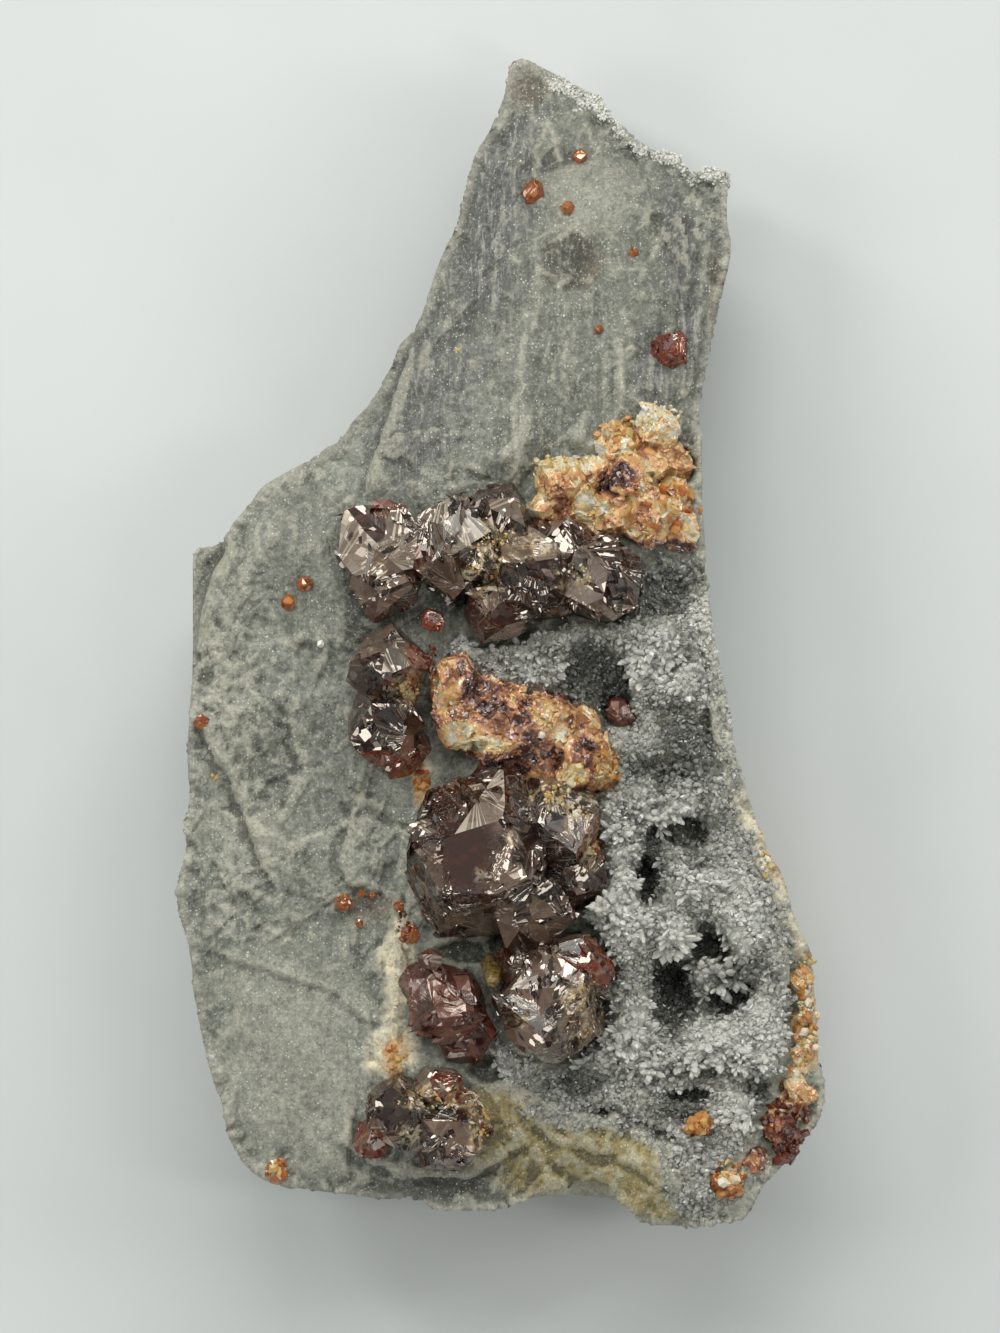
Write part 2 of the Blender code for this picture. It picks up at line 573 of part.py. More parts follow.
def cluster_forms(name, crystals, grow=0.0):
    """The closed forms that make up a cluster, each a crystal or a shoot on one.

    Grown, for the socket that holds the cluster, they keep their sharp edges.
    """
    forms = []
    seat = min(face_height(crystal.x, crystal.y) for crystal in crystals) - SEAT_DEPTH - grow
    for number, crystal in enumerate(crystals):
        seed = f"{name} {number}"
        place = Vector((crystal.x, crystal.y, face_height(crystal.x, crystal.y) + crystal.rise))
        turn = crystal_turn(crystal)
        bevelled = crystal.size >= SMALLEST_CARRIER and not grow
        form = garnet_form(crystal.size, seed, grow, bevelled)
        form.transform(Matrix.Translation(place) @ turn)
        forms.append(form)
        for shoot, (spot, shoot_turn, size) in enumerate(shoots_of(crystal, place, turn, seed)):
            form = garnet_form(size, f"{seed} {shoot}", grow, False)
            form.transform(Matrix.Translation(spot) @ shoot_turn)
            forms.append(form)
    for form in forms:
        clipped(form, Vector((0, 0, -1)), -seat)
    return forms


# ---------------------------------------------------------------- joining and cutting
def scratch_object(bm, collection):
    mesh = bpy.data.meshes.new("scratch")
    bm.to_mesh(mesh)
    obj = bpy.data.objects.new("scratch", mesh)
    collection.objects.link(obj)
    return obj


def combined(base, others, operation):
    """A new bmesh: the base joined with the others, or with the others cut out of it."""
    collection = bpy.data.collections.new("scratch")
    bpy.context.scene.collection.children.link(collection)
    operands = bpy.data.collections.new("operands")
    collection.children.link(operands)
    subject = scratch_object(base, collection)
    for other in others:
        scratch_object(other, operands)
    modifier = subject.modifiers.new(operation.lower(), "BOOLEAN")
    modifier.operation = operation
    modifier.solver = "EXACT"
    modifier.operand_type = "COLLECTION"
    modifier.collection = operands
    evaluated = subject.evaluated_get(bpy.context.evaluated_depsgraph_get())
    result = bmesh.new()
    result.from_mesh(evaluated.to_mesh())
    evaluated.to_mesh_clear()
    for obj in [subject, *operands.objects]:
        bpy.data.objects.remove(obj)
    bpy.data.collections.remove(operands)
    bpy.data.collections.remove(collection)
    return result


def largest_body(bm):
    """Drops the crumbs that a cut leaves beside the main body."""
    left, bodies = set(bm.verts), []
    while left:
        body, edge_of_body = set(), [next(iter(left))]
        while edge_of_body:
            vert = edge_of_body.pop()
            if vert in body:
                continue
            body.add(vert)
            edge_of_body += [edge.other_vert(vert) for edge in vert.link_edges]
        left -= body
        bodies.append(body)
    bodies.sort(key=len)
    crumbs = [vert for body in bodies[:-1] for vert in body]
    bmesh.ops.delete(bm, geom=crumbs, context="VERTS")
    return bm


# ---------------------------------------------------------------- objects
def finish(shade):
    """The plain material of one kind of mineral."""
    if shade in bpy.data.materials:
        return bpy.data.materials[shade]
    (red, green, blue), roughness = COLOURS[shade]
    made = bpy.data.materials.new(shade)
    made.use_nodes = True
    shader = made.node_tree.nodes["Principled BSDF"]
    shader.inputs["Base Color"].default_value = (red, green, blue, 1.0)
    shader.inputs["Roughness"].default_value = roughness
    shader.inputs["Metallic"].default_value = 0.0
    return made


def make_piece(name, bm, shade):
    """One named object, in metres, with flat faces."""
    bmesh.ops.remove_doubles(bm, verts=bm.verts[:], dist=0.002)
    bmesh.ops.recalc_face_normals(bm, faces=bm.faces[:])
    bm.transform(Matrix.Scale(TO_METRES, 4))
    mesh = bpy.data.meshes.new(name)
    bm.to_mesh(mesh)
    mesh.materials.append(finish(shade))
    obj = bpy.data.objects.new(name, mesh)
    bpy.context.scene.collection.objects.link(obj)
    return obj


def scattered_crystal(garnet, number):
    fronts = ("corner", "face", "peak")
    return Crystal(
        garnet.x, garnet.y, garnet.rise, garnet.size, fronts[number % 3],
        twist=47 * number % 90, lean_to=113 * number % 360, lean=12,
    )


def epidote_form(grow):
    """The stubby yellow-green crystal wedged between the two lower garnets."""
    bm = bmesh.new()
    bmesh.ops.create_cube(bm, size=20)
    for step in range(6):
        around = math.radians(60 * step + 15)
        clipped(bm, Vector((math.cos(around), 0.75 * math.sin(around), 0.12)).normalized(), 0.85 + grow)
        clipped(bm, Vector((0.5 * math.cos(around), 0.5 * math.sin(around), 1)).normalized(), 1.9 + grow)
    clipped(bm, Vector((0, 0, -1)), 3.0 + grow)
    lean = Matrix.Rotation(math.radians(18), 4, "X")
    place = Vector((-0.8, -35.4, face_height(-0.8, -35.4) + 1.6))
    bm.transform(Matrix.Translation(place) @ lean)
    return bm


def build():
    for obj in list(bpy.data.objects):
        bpy.data.objects.remove(obj)
    found, triangles = face_triangles()
    rock = rock_slab(found, triangles)
    crust = druse_crust(found, triangles, random.Random(5))

    groups = {name: (crystals, SHADE_OF_CLUSTER.get(name, "dark_garnet"))
              for name, crystals in GARNET_CLUSTERS.items()}
    for number, garnet in enumerate(SCATTERED_GARNETS):
        shade = "red_garnet" if garnet.name in DARK_SCATTERED else "orange_garnet"
        groups[garnet.name] = ((scattered_crystal(garnet, number),), shade)

    # Each group keeps clear of those made before it, and has a socket in the rock and the crust.
    spaces, sockets = [], []
    for name, (crystals, shade) in groups.items():
        first, *rest = cluster_forms(name, crystals)
        body = combined(first, rest, "UNION") if rest else first
        near = [space for space in spaces if touches(body, space)]
        if near:
            body = largest_body(combined(body, near, "DIFFERENCE"))
        make_piece(name, body, shade)
        grown = cluster_forms(name, crystals, GAP)
        seated = [form for form in grown if dips_in(form)]
        for forms, kept in ((grown, spaces), (seated, sockets)):
            first, *rest = forms
            kept.append(combined(first, rest, "UNION") if rest else first)

    wedge = epidote_form(0.0)
    wedge = combined(wedge, [space for space in spaces if touches(wedge, space)], "DIFFERENCE")
    make_piece("epidote_crystal", largest_body(wedge), "epidote")
    sockets.append(epidote_form(GAP))

    make_piece("matrix", largest_body(combined(rock, sockets, "DIFFERENCE")), "rock")
    make_piece("quartz_druse", largest_body(combined(crust, sockets, "DIFFERENCE")), "quartz")


def dips_in(form):
    """Whether a form reaches down to the rock, and so needs a socket in it."""
    lowest = min(form.verts, key=lambda vert: vert.co.z).co
    return lowest.z < face_height(lowest.x, lowest.y) + SOCKET_MARGIN


def touches(one, other):
    """Whether the boxes of two meshes meet."""
    boxes = []
    for bm in (one, other):
        spans = zip(*(vert.co for vert in bm.verts))
        boxes.append([(min(span), max(span)) for span in spans])
    return all(a[0] <= b[1] and b[0] <= a[1] for a, b in zip(*boxes))


build()
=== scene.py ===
# %% [markdown]
# # Garnet in matrix
# A hand-sized slab of grey-green rock lies on its back. Dark red-brown garnets stand on it in a
# crooked row, a druse of tiny quartz points lines the hollow beside them, and grains of orange
# garnet are strewn over the rest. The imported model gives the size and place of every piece. This
# script gives each one its fine surface and its finish.

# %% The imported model
import itertools
import json
import math
import random
from collections import namedtuple

import bmesh
import bpy
import numpy as np
from mathutils import Matrix, Vector
from mathutils.bvhtree import BVHTree

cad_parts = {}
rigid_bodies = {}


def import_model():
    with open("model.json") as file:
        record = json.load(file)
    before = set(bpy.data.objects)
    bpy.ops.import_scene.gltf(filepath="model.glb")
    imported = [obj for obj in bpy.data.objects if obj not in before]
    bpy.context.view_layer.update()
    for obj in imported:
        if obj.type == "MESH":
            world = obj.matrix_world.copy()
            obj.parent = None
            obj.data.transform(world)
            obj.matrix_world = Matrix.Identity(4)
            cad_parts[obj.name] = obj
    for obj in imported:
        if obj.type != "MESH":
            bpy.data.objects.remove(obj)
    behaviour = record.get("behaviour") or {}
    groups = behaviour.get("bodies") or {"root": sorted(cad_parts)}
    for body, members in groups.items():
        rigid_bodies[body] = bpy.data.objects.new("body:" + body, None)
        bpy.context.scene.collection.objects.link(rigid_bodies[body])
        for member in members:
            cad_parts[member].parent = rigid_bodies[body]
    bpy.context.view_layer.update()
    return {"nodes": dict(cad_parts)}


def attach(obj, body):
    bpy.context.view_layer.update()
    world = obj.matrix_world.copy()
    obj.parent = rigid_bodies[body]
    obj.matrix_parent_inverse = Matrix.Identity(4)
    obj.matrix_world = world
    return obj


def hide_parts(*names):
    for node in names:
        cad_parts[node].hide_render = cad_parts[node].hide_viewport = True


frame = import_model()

MM = 0.001  # everything below is worked out in millimetres

# %% [markdown]
# ## Random numbers that stay put
# Broken rock has no two places alike, yet the script has to give the same rock each time. So
# every random value is worked out from its place: a whole-numbered cell of space is hashed to a
# number. Noise blends those numbers smoothly. Chips give each cell a flat tilted plane instead,
# which makes the small facets that a hammer leaves.

# %% Noise over arrays of points
def hashed(cells, seed):
    """A repeatable random number from 0 to 1 for each whole-numbered cell."""
    parts = cells.astype(np.uint64)
    mixed = parts[:, 0] * np.uint64(374761393) + parts[:, 1] * np.uint64(668265263)
    mixed += parts[:, 2] * np.uint64(2147483647) + np.uint64(seed) * np.uint64(1013904223)
    mixed &= np.uint64(0xFFFFFFFF)
    mixed = (mixed ^ (mixed >> np.uint64(13))) * np.uint64(1274126177)
    mixed &= np.uint64(0xFFFFFFFF)
    mixed ^= mixed >> np.uint64(16)
    return (mixed & np.uint64(0xFFFFFF)).astype(float) / 0x1000000


def smooth_noise(points, seed=0):
    """Noise from -1 to 1 whose lumps are one unit across."""
    corner = np.floor(points).astype(np.int64)
    share = points - corner
    share = share * share * (3 - 2 * share)
    total = np.zeros(len(points))
    for step in itertools.product((0, 1), repeat=3):
        weights = np.where(np.array(step), share, 1 - share).prod(axis=1)
        total += weights * hashed(corner + np.array(step), seed)
    return 2 * total - 1


def fractal(points, octaves=4, seed=0):
    """Noise on noise: each octave is half the size and half the height of the last."""
    total = np.zeros(len(points))
    for octave in range(octaves):
        total += smooth_noise(points * 2**octave, seed + 17 * octave) / 2**octave
    return total


def chip_cells(points, seed=0, flat=False):
    """Tilted planes one unit across with sharp steps between them, and a chance value for each."""
    corner = np.floor(points).astype(np.int64)
    nearest = np.full(len(points), np.inf)
    height, chance = np.zeros(len(points)), np.zeros(len(points))
    for step in itertools.product((-1, 0, 1), repeat=3):
        if flat and step[2]:
            continue
        cell = corner + np.array(step)
        place = cell + np.stack([hashed(cell, seed + axis) for axis in range(3)], axis=1)
        offset = points - place
        distance = (offset**2).sum(axis=1)
        tilt = np.stack([hashed(cell, seed + 3 + axis) for axis in range(3)], axis=1) - 0.5
        plane = hashed(cell, seed + 6) - 0.5 + 1.2 * (offset * tilt).sum(axis=1)
        closer = distance < nearest
        nearest[closer] = distance[closer]
        height[closer] = plane[closer]
        chance[closer] = hashed(cell, seed + 7)[closer]
    return height, chance


def chips(points, seed=0, flat=False):
    """The planes of the chips alone, from about -1 to 1."""
    return chip_cells(points, seed, flat)[0]


def ramp(value, low, high):
    """0 at low, 1 at high, and smooth between."""
    share = np.clip((value - low) / (high - low), 0.0, 1.0)
    return share * share * (3 - 2 * share)


check = fractal(np.random.default_rng(1).uniform(-50, 50, (4000, 3)))
print("fractal noise spreads from", round(check.min(), 2), "to", round(check.max(), 2))

# %% [markdown]
# ## Reading the solids from above
# The rock's fine face is laid over a square grid of points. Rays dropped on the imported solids
# give the height of the rock, the crust and the garnets under each point. Where a garnet stands,
# the rock's height is filled in from around it, so that the rock closes up to every crystal.

# %% Grid and rays
GRID = 0.3  # spacing of the grid's points
GRID_X = np.arange(-35.6, 35.8, GRID)
GRID_Y = np.arange(-63.4, 63.0, GRID)
COLUMNS, ROWS = len(GRID_X), len(GRID_Y)
PLACE_X, PLACE_Y = np.meshgrid(GRID_X, GRID_Y)
FLAT_PLACES = np.column_stack([PLACE_X.ravel(), PLACE_Y.ravel()])
ABOVE = 60.0  # height that rays are dropped from
GARNET_NODES = sorted(n for n in frame["nodes"] if n not in ("matrix", "quartz_druse"))


def heights_of(pieces):
    """The height of the highest of some pieces at each point of the grid, and nan beside them."""
    corners, triangles = [], []
    for piece in pieces:
        piece.data.calc_loop_triangles()
        first = len(corners)
        corners += [vertex.co / MM for vertex in piece.data.vertices]
        triangles += [[first + v for v in t.vertices] for t in piece.data.loop_triangles]
    tree = BVHTree.FromPolygons(corners, triangles)
    down = Vector((0, 0, -1))
    heights = np.full((ROWS, COLUMNS), np.nan)
    for row, y in enumerate(GRID_Y):
        for column, x in enumerate(GRID_X):
            hit = tree.ray_cast(Vector((x, y, ABOVE)), down)[0]
            if hit is not None:
                heights[row, column] = hit.z
    return heights


solid_rock = heights_of([frame["nodes"]["matrix"]])
solid_crust = heights_of([frame["nodes"]["quartz_druse"]])
solid_garnets = heights_of([frame["nodes"][name] for name in GARNET_NODES])
print("the grid has", ROWS, "rows;", int(np.isfinite(solid_rock).sum()), "points lie on rock")


# %% Fields over the grid
def blurred(field, spread):
    """A field or mask smoothed by a bell curve of this spread, in millimetres."""
    margin = int(4 * spread / GRID) + 2
    padded = np.pad(np.asarray(field, float), margin, mode="edge")
    along_y = np.fft.fftfreq(padded.shape[0], GRID)[:, None]
    along_x = np.fft.rfftfreq(padded.shape[1], GRID)[None, :]
    gain = np.exp(-2 * (math.pi * spread) ** 2 * (along_x**2 + along_y**2))
    smoothed = np.fft.irfft2(np.fft.rfft2(padded) * gain, padded.shape)
    return smoothed[margin:-margin, margin:-margin]


def filled(field, known, spread):
    """The known parts of a field smoothed, and carried over the unknown parts."""
    weight = np.maximum(blurred(known, spread), 1e-9)
    return blurred(np.where(known, field, 0.0), spread) / weight


def grid_points(scale_x, scale_y, third=0.0):
    """The grid's points for a noise whose features have this size along x and y."""
    return np.column_stack([FLAT_PLACES / (scale_x, scale_y), np.full(ROWS * COLUMNS, third)])


def over_grid(values):
    return values.reshape(ROWS, COLUMNS)


def clouds(scale_x, scale_y, octaves, seed, third=0.0):
    """Fractal noise over the grid, with its largest lumps of this size along x and y."""
    return over_grid(fractal(grid_points(scale_x, scale_y, third), octaves, seed))


SOCKET_MARGIN = 0.45  # how far the rock's height is spoiled beside a garnet
on_rock = np.isfinite(solid_rock)
under_garnet = blurred(np.isfinite(solid_garnets), SOCKET_MARGIN) > 0.03
in_druse = np.isfinite(solid_crust)
druse_margin = blurred(in_druse, 1.5)

# %% [markdown]
# ## The rock's ledges
# The face isn't one plane. Flakes have come away and left low ledges and hairline cracks. Each
# ledge is a line along which the rock steps down on the right of someone who walks it. The
# solids have the larger ones. The smaller ones are added here.

# %% Ledges and cracks
Ledge = namedtuple("Ledge", "line drop reach")
LEDGES = (
    Ledge(((-9.2, 31.0), (-11.2, 25.0), (-13.9, 16.7)), 1.1, 14.0),
    Ledge(((-27.8, 12.2), (-28.9, 9.0), (-30.2, 6.6), (-31.2, 3.1), (-31.7, -1.2)), 3.2, 20.0),
    Ledge(((-31.4, -10.0), (-28.6, -13.8), (-27.8, -16.2), (-26.0, -21.0), (-24.6, -24.1)), 1.3, 9.0),
    Ledge(((-15.4, -18.2), (-16.5, -22.2), (-16.7, -23.8), (-15.6, -25.9), (-13.8, -26.5)), 0.9, 7.0),
    Ledge(((-28.7, -33.4), (-22.6, -35.3), (-17.6, -36.9), (-14.6, -39.5), (-13.0, -40.2)), 0.5, 12.0),
    Ledge(((-22.8, -30.8), (-20.6, -29.2), (-19.1, -28.3)), 0.5, 5.0),
    Ledge(((-15.0, -54.0), (-10.5, -56.4), (-3.2, -56.6), (0.5, -54.4)), 1.4, 8.0),
    Ledge(((2.5, -49.8), (6.0, -53.0), (12.0, -54.2), (17.0, -57.5)), 1.0, 6.0),
    Ledge(((-16.7, -58.8), (-16.2, -54.0), (-15.6, -51.2)), 0.7, 7.0),
)
FINE_LEDGES = (
    Ledge(((-12.2, -21.5), (-10.9, -20.2), (-10.2, -22.8), (-10.9, -24.4)), 0.5, 1.6),
    Ledge(((-11.6, 19.2), (-10.3, 18.9), (-9.2, 18.0)), 0.35, 1.5),
    Ledge(((-24.5, -4.5), (-22.0, -8.5), (-21.0, -13.0)), 0.45, 3.0),
    Ledge(((-29.5, -27.5), (-25.0, -25.4), (-19.6, -27.2)), 0.35, 2.5),
)
LEDGE_WIDTH = 0.45
FINE_LEDGE_WIDTH = 0.35


def beside_line(points, line):
    """For each point: how far it lies from a line, whether it is on its right, how far past an end."""
    nearest = np.full(len(points), np.inf)
    right = np.zeros(len(points), bool)
    past = np.zeros(len(points))
    for number, (start, end) in enumerate(zip(line, line[1:])):
        start = np.array(start)
        along = np.array(end) - start
        share = (points - start) @ along / (along @ along)
        offset = points - start - np.clip(share, 0, 1)[:, None] * along
        distance = np.hypot(offset[:, 0], offset[:, 1])
        beyond = np.zeros(len(points))
        if number == 0:
            beyond = np.maximum(-share, 0)
        if number == len(line) - 2:
            beyond = np.maximum(beyond, share - 1)
        closer = distance < nearest
        nearest[closer] = distance[closer]
        right[closer] = (along[0] * offset[:, 1] - along[1] * offset[:, 0] < 0)[closer]
        past[closer] = (beyond * math.hypot(*along))[closer]
    return nearest, right, past


def ledge_fall(ledges, width):
    """How far the ledges let the face down, over the grid."""
    ragged = 0.35 * smooth_noise(grid_points(1.1, 1.1, 4.5), 61)
    fall = np.zeros(len(FLAT_PLACES))
    for ledge in ledges:
        distance, right, past = beside_line(FLAT_PLACES + ragged[:, None], ledge.line)
        step = np.minimum(distance / width, 1.0) * np.exp(-distance / ledge.reach)
        fall += np.where(right, ledge.drop * step * ramp(past, 3.5, 0.0), 0.0)
    return over_grid(fall)


coarse_ledges = ledge_fall(LEDGES, LEDGE_WIDTH)
print("the ledges drop the face by up to", round(float(coarse_ledges.max()), 1), "mm")

# %% [markdown]
# ## The rock's face
# The solids' facets are smoothed away first, but not the ledges. Then the face gets its own
# relief: slow swells, low terraces, a chipped look where it broke roughly, and a fine grain like
# coarse sugar. `rough` says how badly each place broke. It is high along the broken edges and at
# the foot.

# %% Heights of the face
Spot = namedtuple("Spot", "x y wide tall turn", defaults=(0.0,))


def spot_table(*rows):
    """Spots from rows of a place, two half widths and a turn in degrees."""
    return tuple(Spot(*row) for row in rows)


ROUGH_SPOTS = spot_table(
    (9, -55, 12, 6.5), (-6, -57, 9, 3), (20.5, 44, 6, 5), (14, 51.5, 7, 1.6, -32), (22.5, 49, 3, 2.4),
    (-29, -4, 3.4, 13), (-26, -12, 5, 7), (-21, 17.5, 8, 2.6, 30), (-14.5, 27, 2, 9, -32),
    (-9, -30, 2, 10), (-14.5, -19.5, 2.4, 6), (-28, -27, 4.5, 5),
)
GROOVED_SPOTS = spot_table(
    (-1.5, 40, 4.6, 18, -12), (-7, 28, 5.5, 9, -20), (20.5, 34, 3.6, 15, 3), (9, 27, 10, 9),
)
FIBROUS_SPOTS = spot_table((7.4, 39.9, 3.6, 3.2))
PIT_SPOTS = spot_table(  # small hollows between the big crystals
    (-0.8, -45.2, 2.2, 1.4), (2, -31.8, 3.4, 1.1), (-4, -33, 2.4, 0.9), (10.6, -49.6, 0.9, 0.8),
    (17.4, -52, 1.1, 0.9), (19.5, 18.4, 1.4, 1.8),
)
SEAM_SPOTS = spot_table((-11.2, -34.4, 0.9, 5.6), (-11.3, -43.2, 2, 2.8))
EVEN_SPOTS = spot_table((-21, -42, 10, 14), (-19, 7, 6, 8))  # flat, fine-grained break
SPOT_DRIFT = 0.45  # how far noise pushes a spot's border about, in millimetres


def spots_field(spots, seed, raggedness=0.5):
    """1 in the middle of each spot, 0 outside, with an uneven border."""
    ragged = clouds(3.0, 3.0, 5, seed, 2.5) * raggedness
    shift_x = PLACE_X + SPOT_DRIFT * clouds(4.0, 4.0, 3, seed + 1, 6.5)
    shift_y = PLACE_Y + SPOT_DRIFT * clouds(4.0, 4.0, 3, seed + 2, 9.5)
    field = np.zeros((ROWS, COLUMNS))
    for spot in spots:
        turn = math.radians(spot.turn)
        along = (shift_x - spot.x) * math.cos(turn) + (shift_y - spot.y) * math.sin(turn)
        over = (shift_y - spot.y) * math.cos(turn) - (shift_x - spot.x) * math.sin(turn)
        away = np.hypot(along / spot.wide, over / spot.tall)
        field = np.maximum(field, ramp(away + ragged, 1.25, 0.6))
    return field


def turned_points(degrees, length, width, third=0.0):
    """The grid's points for a noise that is drawn out in one direction."""
    turn = math.radians(degrees)
    along = (PLACE_X * math.cos(turn) + PLACE_Y * math.sin(turn)).ravel() / length
    over = (PLACE_Y * math.cos(turn) - PLACE_X * math.sin(turn)).ravel() / width
    return np.stack([along, over, np.full(ROWS * COLUMNS, third)], axis=1)


def flakes(degrees, length, width, seed):
    """Flat chips over the grid, drawn out in one direction."""
    return over_grid(chips(turned_points(degrees, length, width), seed, flat=True))


def ridged(points, sharpness, seed):
    """Thin crests, 1 along their tops and 0 between them."""
    crest = np.clip(1 - sharpness * np.abs(smooth_noise(points, seed)), 0, 1)
    return over_grid(crest * (0.5 + 0.5 * smooth_noise(points * 0.6, seed + 1)))


def stepped(height, edge):
    """Flats at whole heights with short steps between them."""
    level = np.floor(height)
    return level + ramp(height - level, 1 - edge, 1.0)


CREST_LINE = ((5.5, 59.1), (11.0, 56.4), (12.6, 54.2), (14.5, 53.0), (17.6, 51.2), (20.6, 49.4),
              (24.2, 48.9))  # along the broken top of the slab, where quartz sugar sits
edge_nearness = 1 - blurred(on_rock, 1.3)
crest_away = beside_line(FLAT_PLACES, CREST_LINE)[0]
on_crest = over_grid(ramp(crest_away + 0.9 * fractal(grid_points(1.6, 1.6, 3.5), 3, 67), 1.5, 0.1))
FILLING = 5.0  # spread of the smoothing that closes the rock up under the garnets
SMOOTHING = 0.9  # spread of the smoothing that takes the solids' facets away
known = on_rock & ~under_garnet
plain_face = filled(solid_rock + coarse_ledges, known, FILLING)
plain_face = np.where(known, solid_rock + coarse_ledges, plain_face)
plain_face = filled(plain_face, on_rock, SMOOTHING)

rough = np.maximum(spots_field(ROUGH_SPOTS, 5), ramp(edge_nearness, 0.02, 0.35))
swell = clouds(6.0, 8.0, 3, 11)
flats = flakes(35, 9.0, 6.0, 43) + 0.5 * flakes(-30, 4.6, 3.0, 47)
broken = 0.8 * flakes(-50, 2.6, 1.5, 23) + 0.6 * flakes(-40, 1.2, 0.8, 29)
crests = ridged(turned_points(-40, 5.5, 1.5), 3.5, 53) + ridged(turned_points(65, 4.0, 1.1), 3.5, 57)
grooves = spots_field(GROOVED_SPOTS, 15) * over_grid(fractal(turned_points(84, 7.0, 0.75), 3, 59))
grain = clouds(0.8, 0.8, 2, 37)
fibrous = spots_field(FIBROUS_SPOTS, 19, 0.3)
fibres = ridged(turned_points(-58, 3.6, 0.8), 2.6, 83) + ridged(turned_points(35, 3.0, 1.0), 3.0, 89)
even = 1 - 0.65 * spots_field(EVEN_SPOTS, 31)
terraces = over_grid(stepped(3.2 * fractal(turned_points(58, 12.0, 6.5), 3, 73), 0.08))
# Each part's number is its height in millimetres.
relief = 0.2 * swell + (0.07 + 0.4 * rough) * broken + 0.18 * grooves
relief += even * ((0.27 - 0.13 * ramp(PLACE_Y, 16.0, 28.0)) * terraces + 0.3 * flats)
relief += (0.08 + 0.1 * rough) * crests + (0.05 + 0.07 * rough) * grain + 0.3 * on_crest
relief += 0.45 * (fibrous * fibres) - 0.35 * fibrous
relief += 0.5 * spots_field(SEAM_SPOTS, 27) - 1.1 * spots_field(PIT_SPOTS, 21)
CRUST_ROOM = 3.6  # how deep the face sinks below the quartz crust, which covers it
face = plain_face - coarse_ledges - ledge_fall(FINE_LEDGES, FINE_LEDGE_WIDTH) + relief
face -= CRUST_ROOM * ramp(blurred(in_druse, 0.8), 0.75, 1.0)
print("the face lies between", round(float(face[on_rock].min()), 1), "and",
      round(float(face[on_rock].max()), 1), "mm")


# %% [markdown]
# ## One closed mesh for the rock
# The grid's squares that lie on rock are kept. The points along their border are drawn to the
# smooth edge of the slab, and the border is then led down the broken sides to the flat back in
# level rings, each a little smoother and narrower than the last, as in the solids.

# %% Face of the slab
def kept_squares(mask):
    """The grid squares whose four corners are in a mask, with no two that meet only at a corner."""
    squares = mask[:-1, :-1] & mask[1:, :-1] & mask[:-1, 1:] & mask[1:, 1:]
    while True:
        padded = np.pad(squares, 1)
        lower_left, lower_right = padded[:-1, :-1], padded[:-1, 1:]
        upper_left, upper_right = padded[1:, :-1], padded[1:, 1:]
        pinched = (lower_left == upper_right) & (lower_right == upper_left)
        pinched &= lower_left != lower_right
        if not pinched.any():
            return squares
        touched = pinched[:-1, :-1] | pinched[1:, :-1] | pinched[:-1, 1:] | pinched[1:, 1:]
        squares = squares & ~touched


def numbered_squares(squares):
    """The squares' corners, as numbers of the grid points that they use, in anticlockwise order."""
    rows, columns = np.nonzero(squares)
    first = rows * COLUMNS + columns
    corners = np.stack([first, first + 1, first + COLUMNS + 1, first + COLUMNS], axis=1)
    used, numbers = np.unique(corners, return_inverse=True)
    return used, numbers.reshape(-1, 4)


def border_loops(faces):
    """The closed loops of points round a sheet of faces, longest first, anticlockwise outside."""
    edges = {(int(a), int(b)) for face_ in faces for a, b in zip(face_, np.roll(face_, -1))}
    following = {a: b for a, b in edges if (b, a) not in edges}
    loops = []
    while following:
        start, after = next(iter(following.items()))
        loop = [start]
        del following[start]
        while after != start:
            loop.append(after)
            after = following.pop(after)
        loops.append(loop)
    return sorted(loops, key=len, reverse=True)


def drawn_to_edge(mask, positions, loop):
    """Moves a border's points sideways onto the smooth outline of a mask."""
    soft = blurred(mask, 0.5)
    slope_y, slope_x = np.gradient(soft, GRID)
    for _ in range(3):
        column = (positions[loop, 0] - GRID_X[0]) / GRID
        row = (positions[loop, 1] - GRID_Y[0]) / GRID
        near = (np.rint(row).astype(int), np.rint(column).astype(int))
        slope = np.stack([slope_x[near], slope_y[near]], axis=1)
        steep = np.maximum((slope**2).sum(axis=1), 0.05)
        step = ((soft[near] - 0.5) / steep)[:, None] * slope
        positions[loop, :2] -= np.clip(step, -GRID, GRID) * 0.7  # not the whole way, so it settles


slab_mask = blurred(on_rock, 0.3) > 0.5
used, face_squares = numbered_squares(kept_squares(slab_mask))
face_points = np.column_stack([FLAT_PLACES[used], face.ravel()[used]])
rim = border_loops(face_squares)[0]
drawn_to_edge(slab_mask, face_points, rim)
print("the face has", len(face_squares), "squares, and its rim has", len(rim), "points")

# %% Sides and back of the slab
# Share of the height, spread of the smoothing along the rim, and inset, from the bed up.
SIDE_SHARE = (0.0, 0.14, 0.42, 0.72, 1.0)
SIDE_SPREAD = (12.0, 10.5, 7.0, 3.6, 0.0)
SIDE_INSET = (5.0, 2.6, 1.2, 0.4, 0.0)
SIDE_RINGS = 26


def smoothed_loop(points, spread):
    """A closed line smoothed along its length by a bell curve of this spread."""
    if spread <= 0:
        return points
    steps = np.linalg.norm(np.roll(points, -1, axis=0) - points, axis=1)
    waves = np.fft.fftfreq(len(points), steps.mean())
    gain = np.exp(-2 * (math.pi * spread * waves) ** 2)
    line = np.fft.ifft(np.fft.fft(points[:, 0] + 1j * points[:, 1]) * gain)
    return np.stack([line.real, line.imag], axis=1)


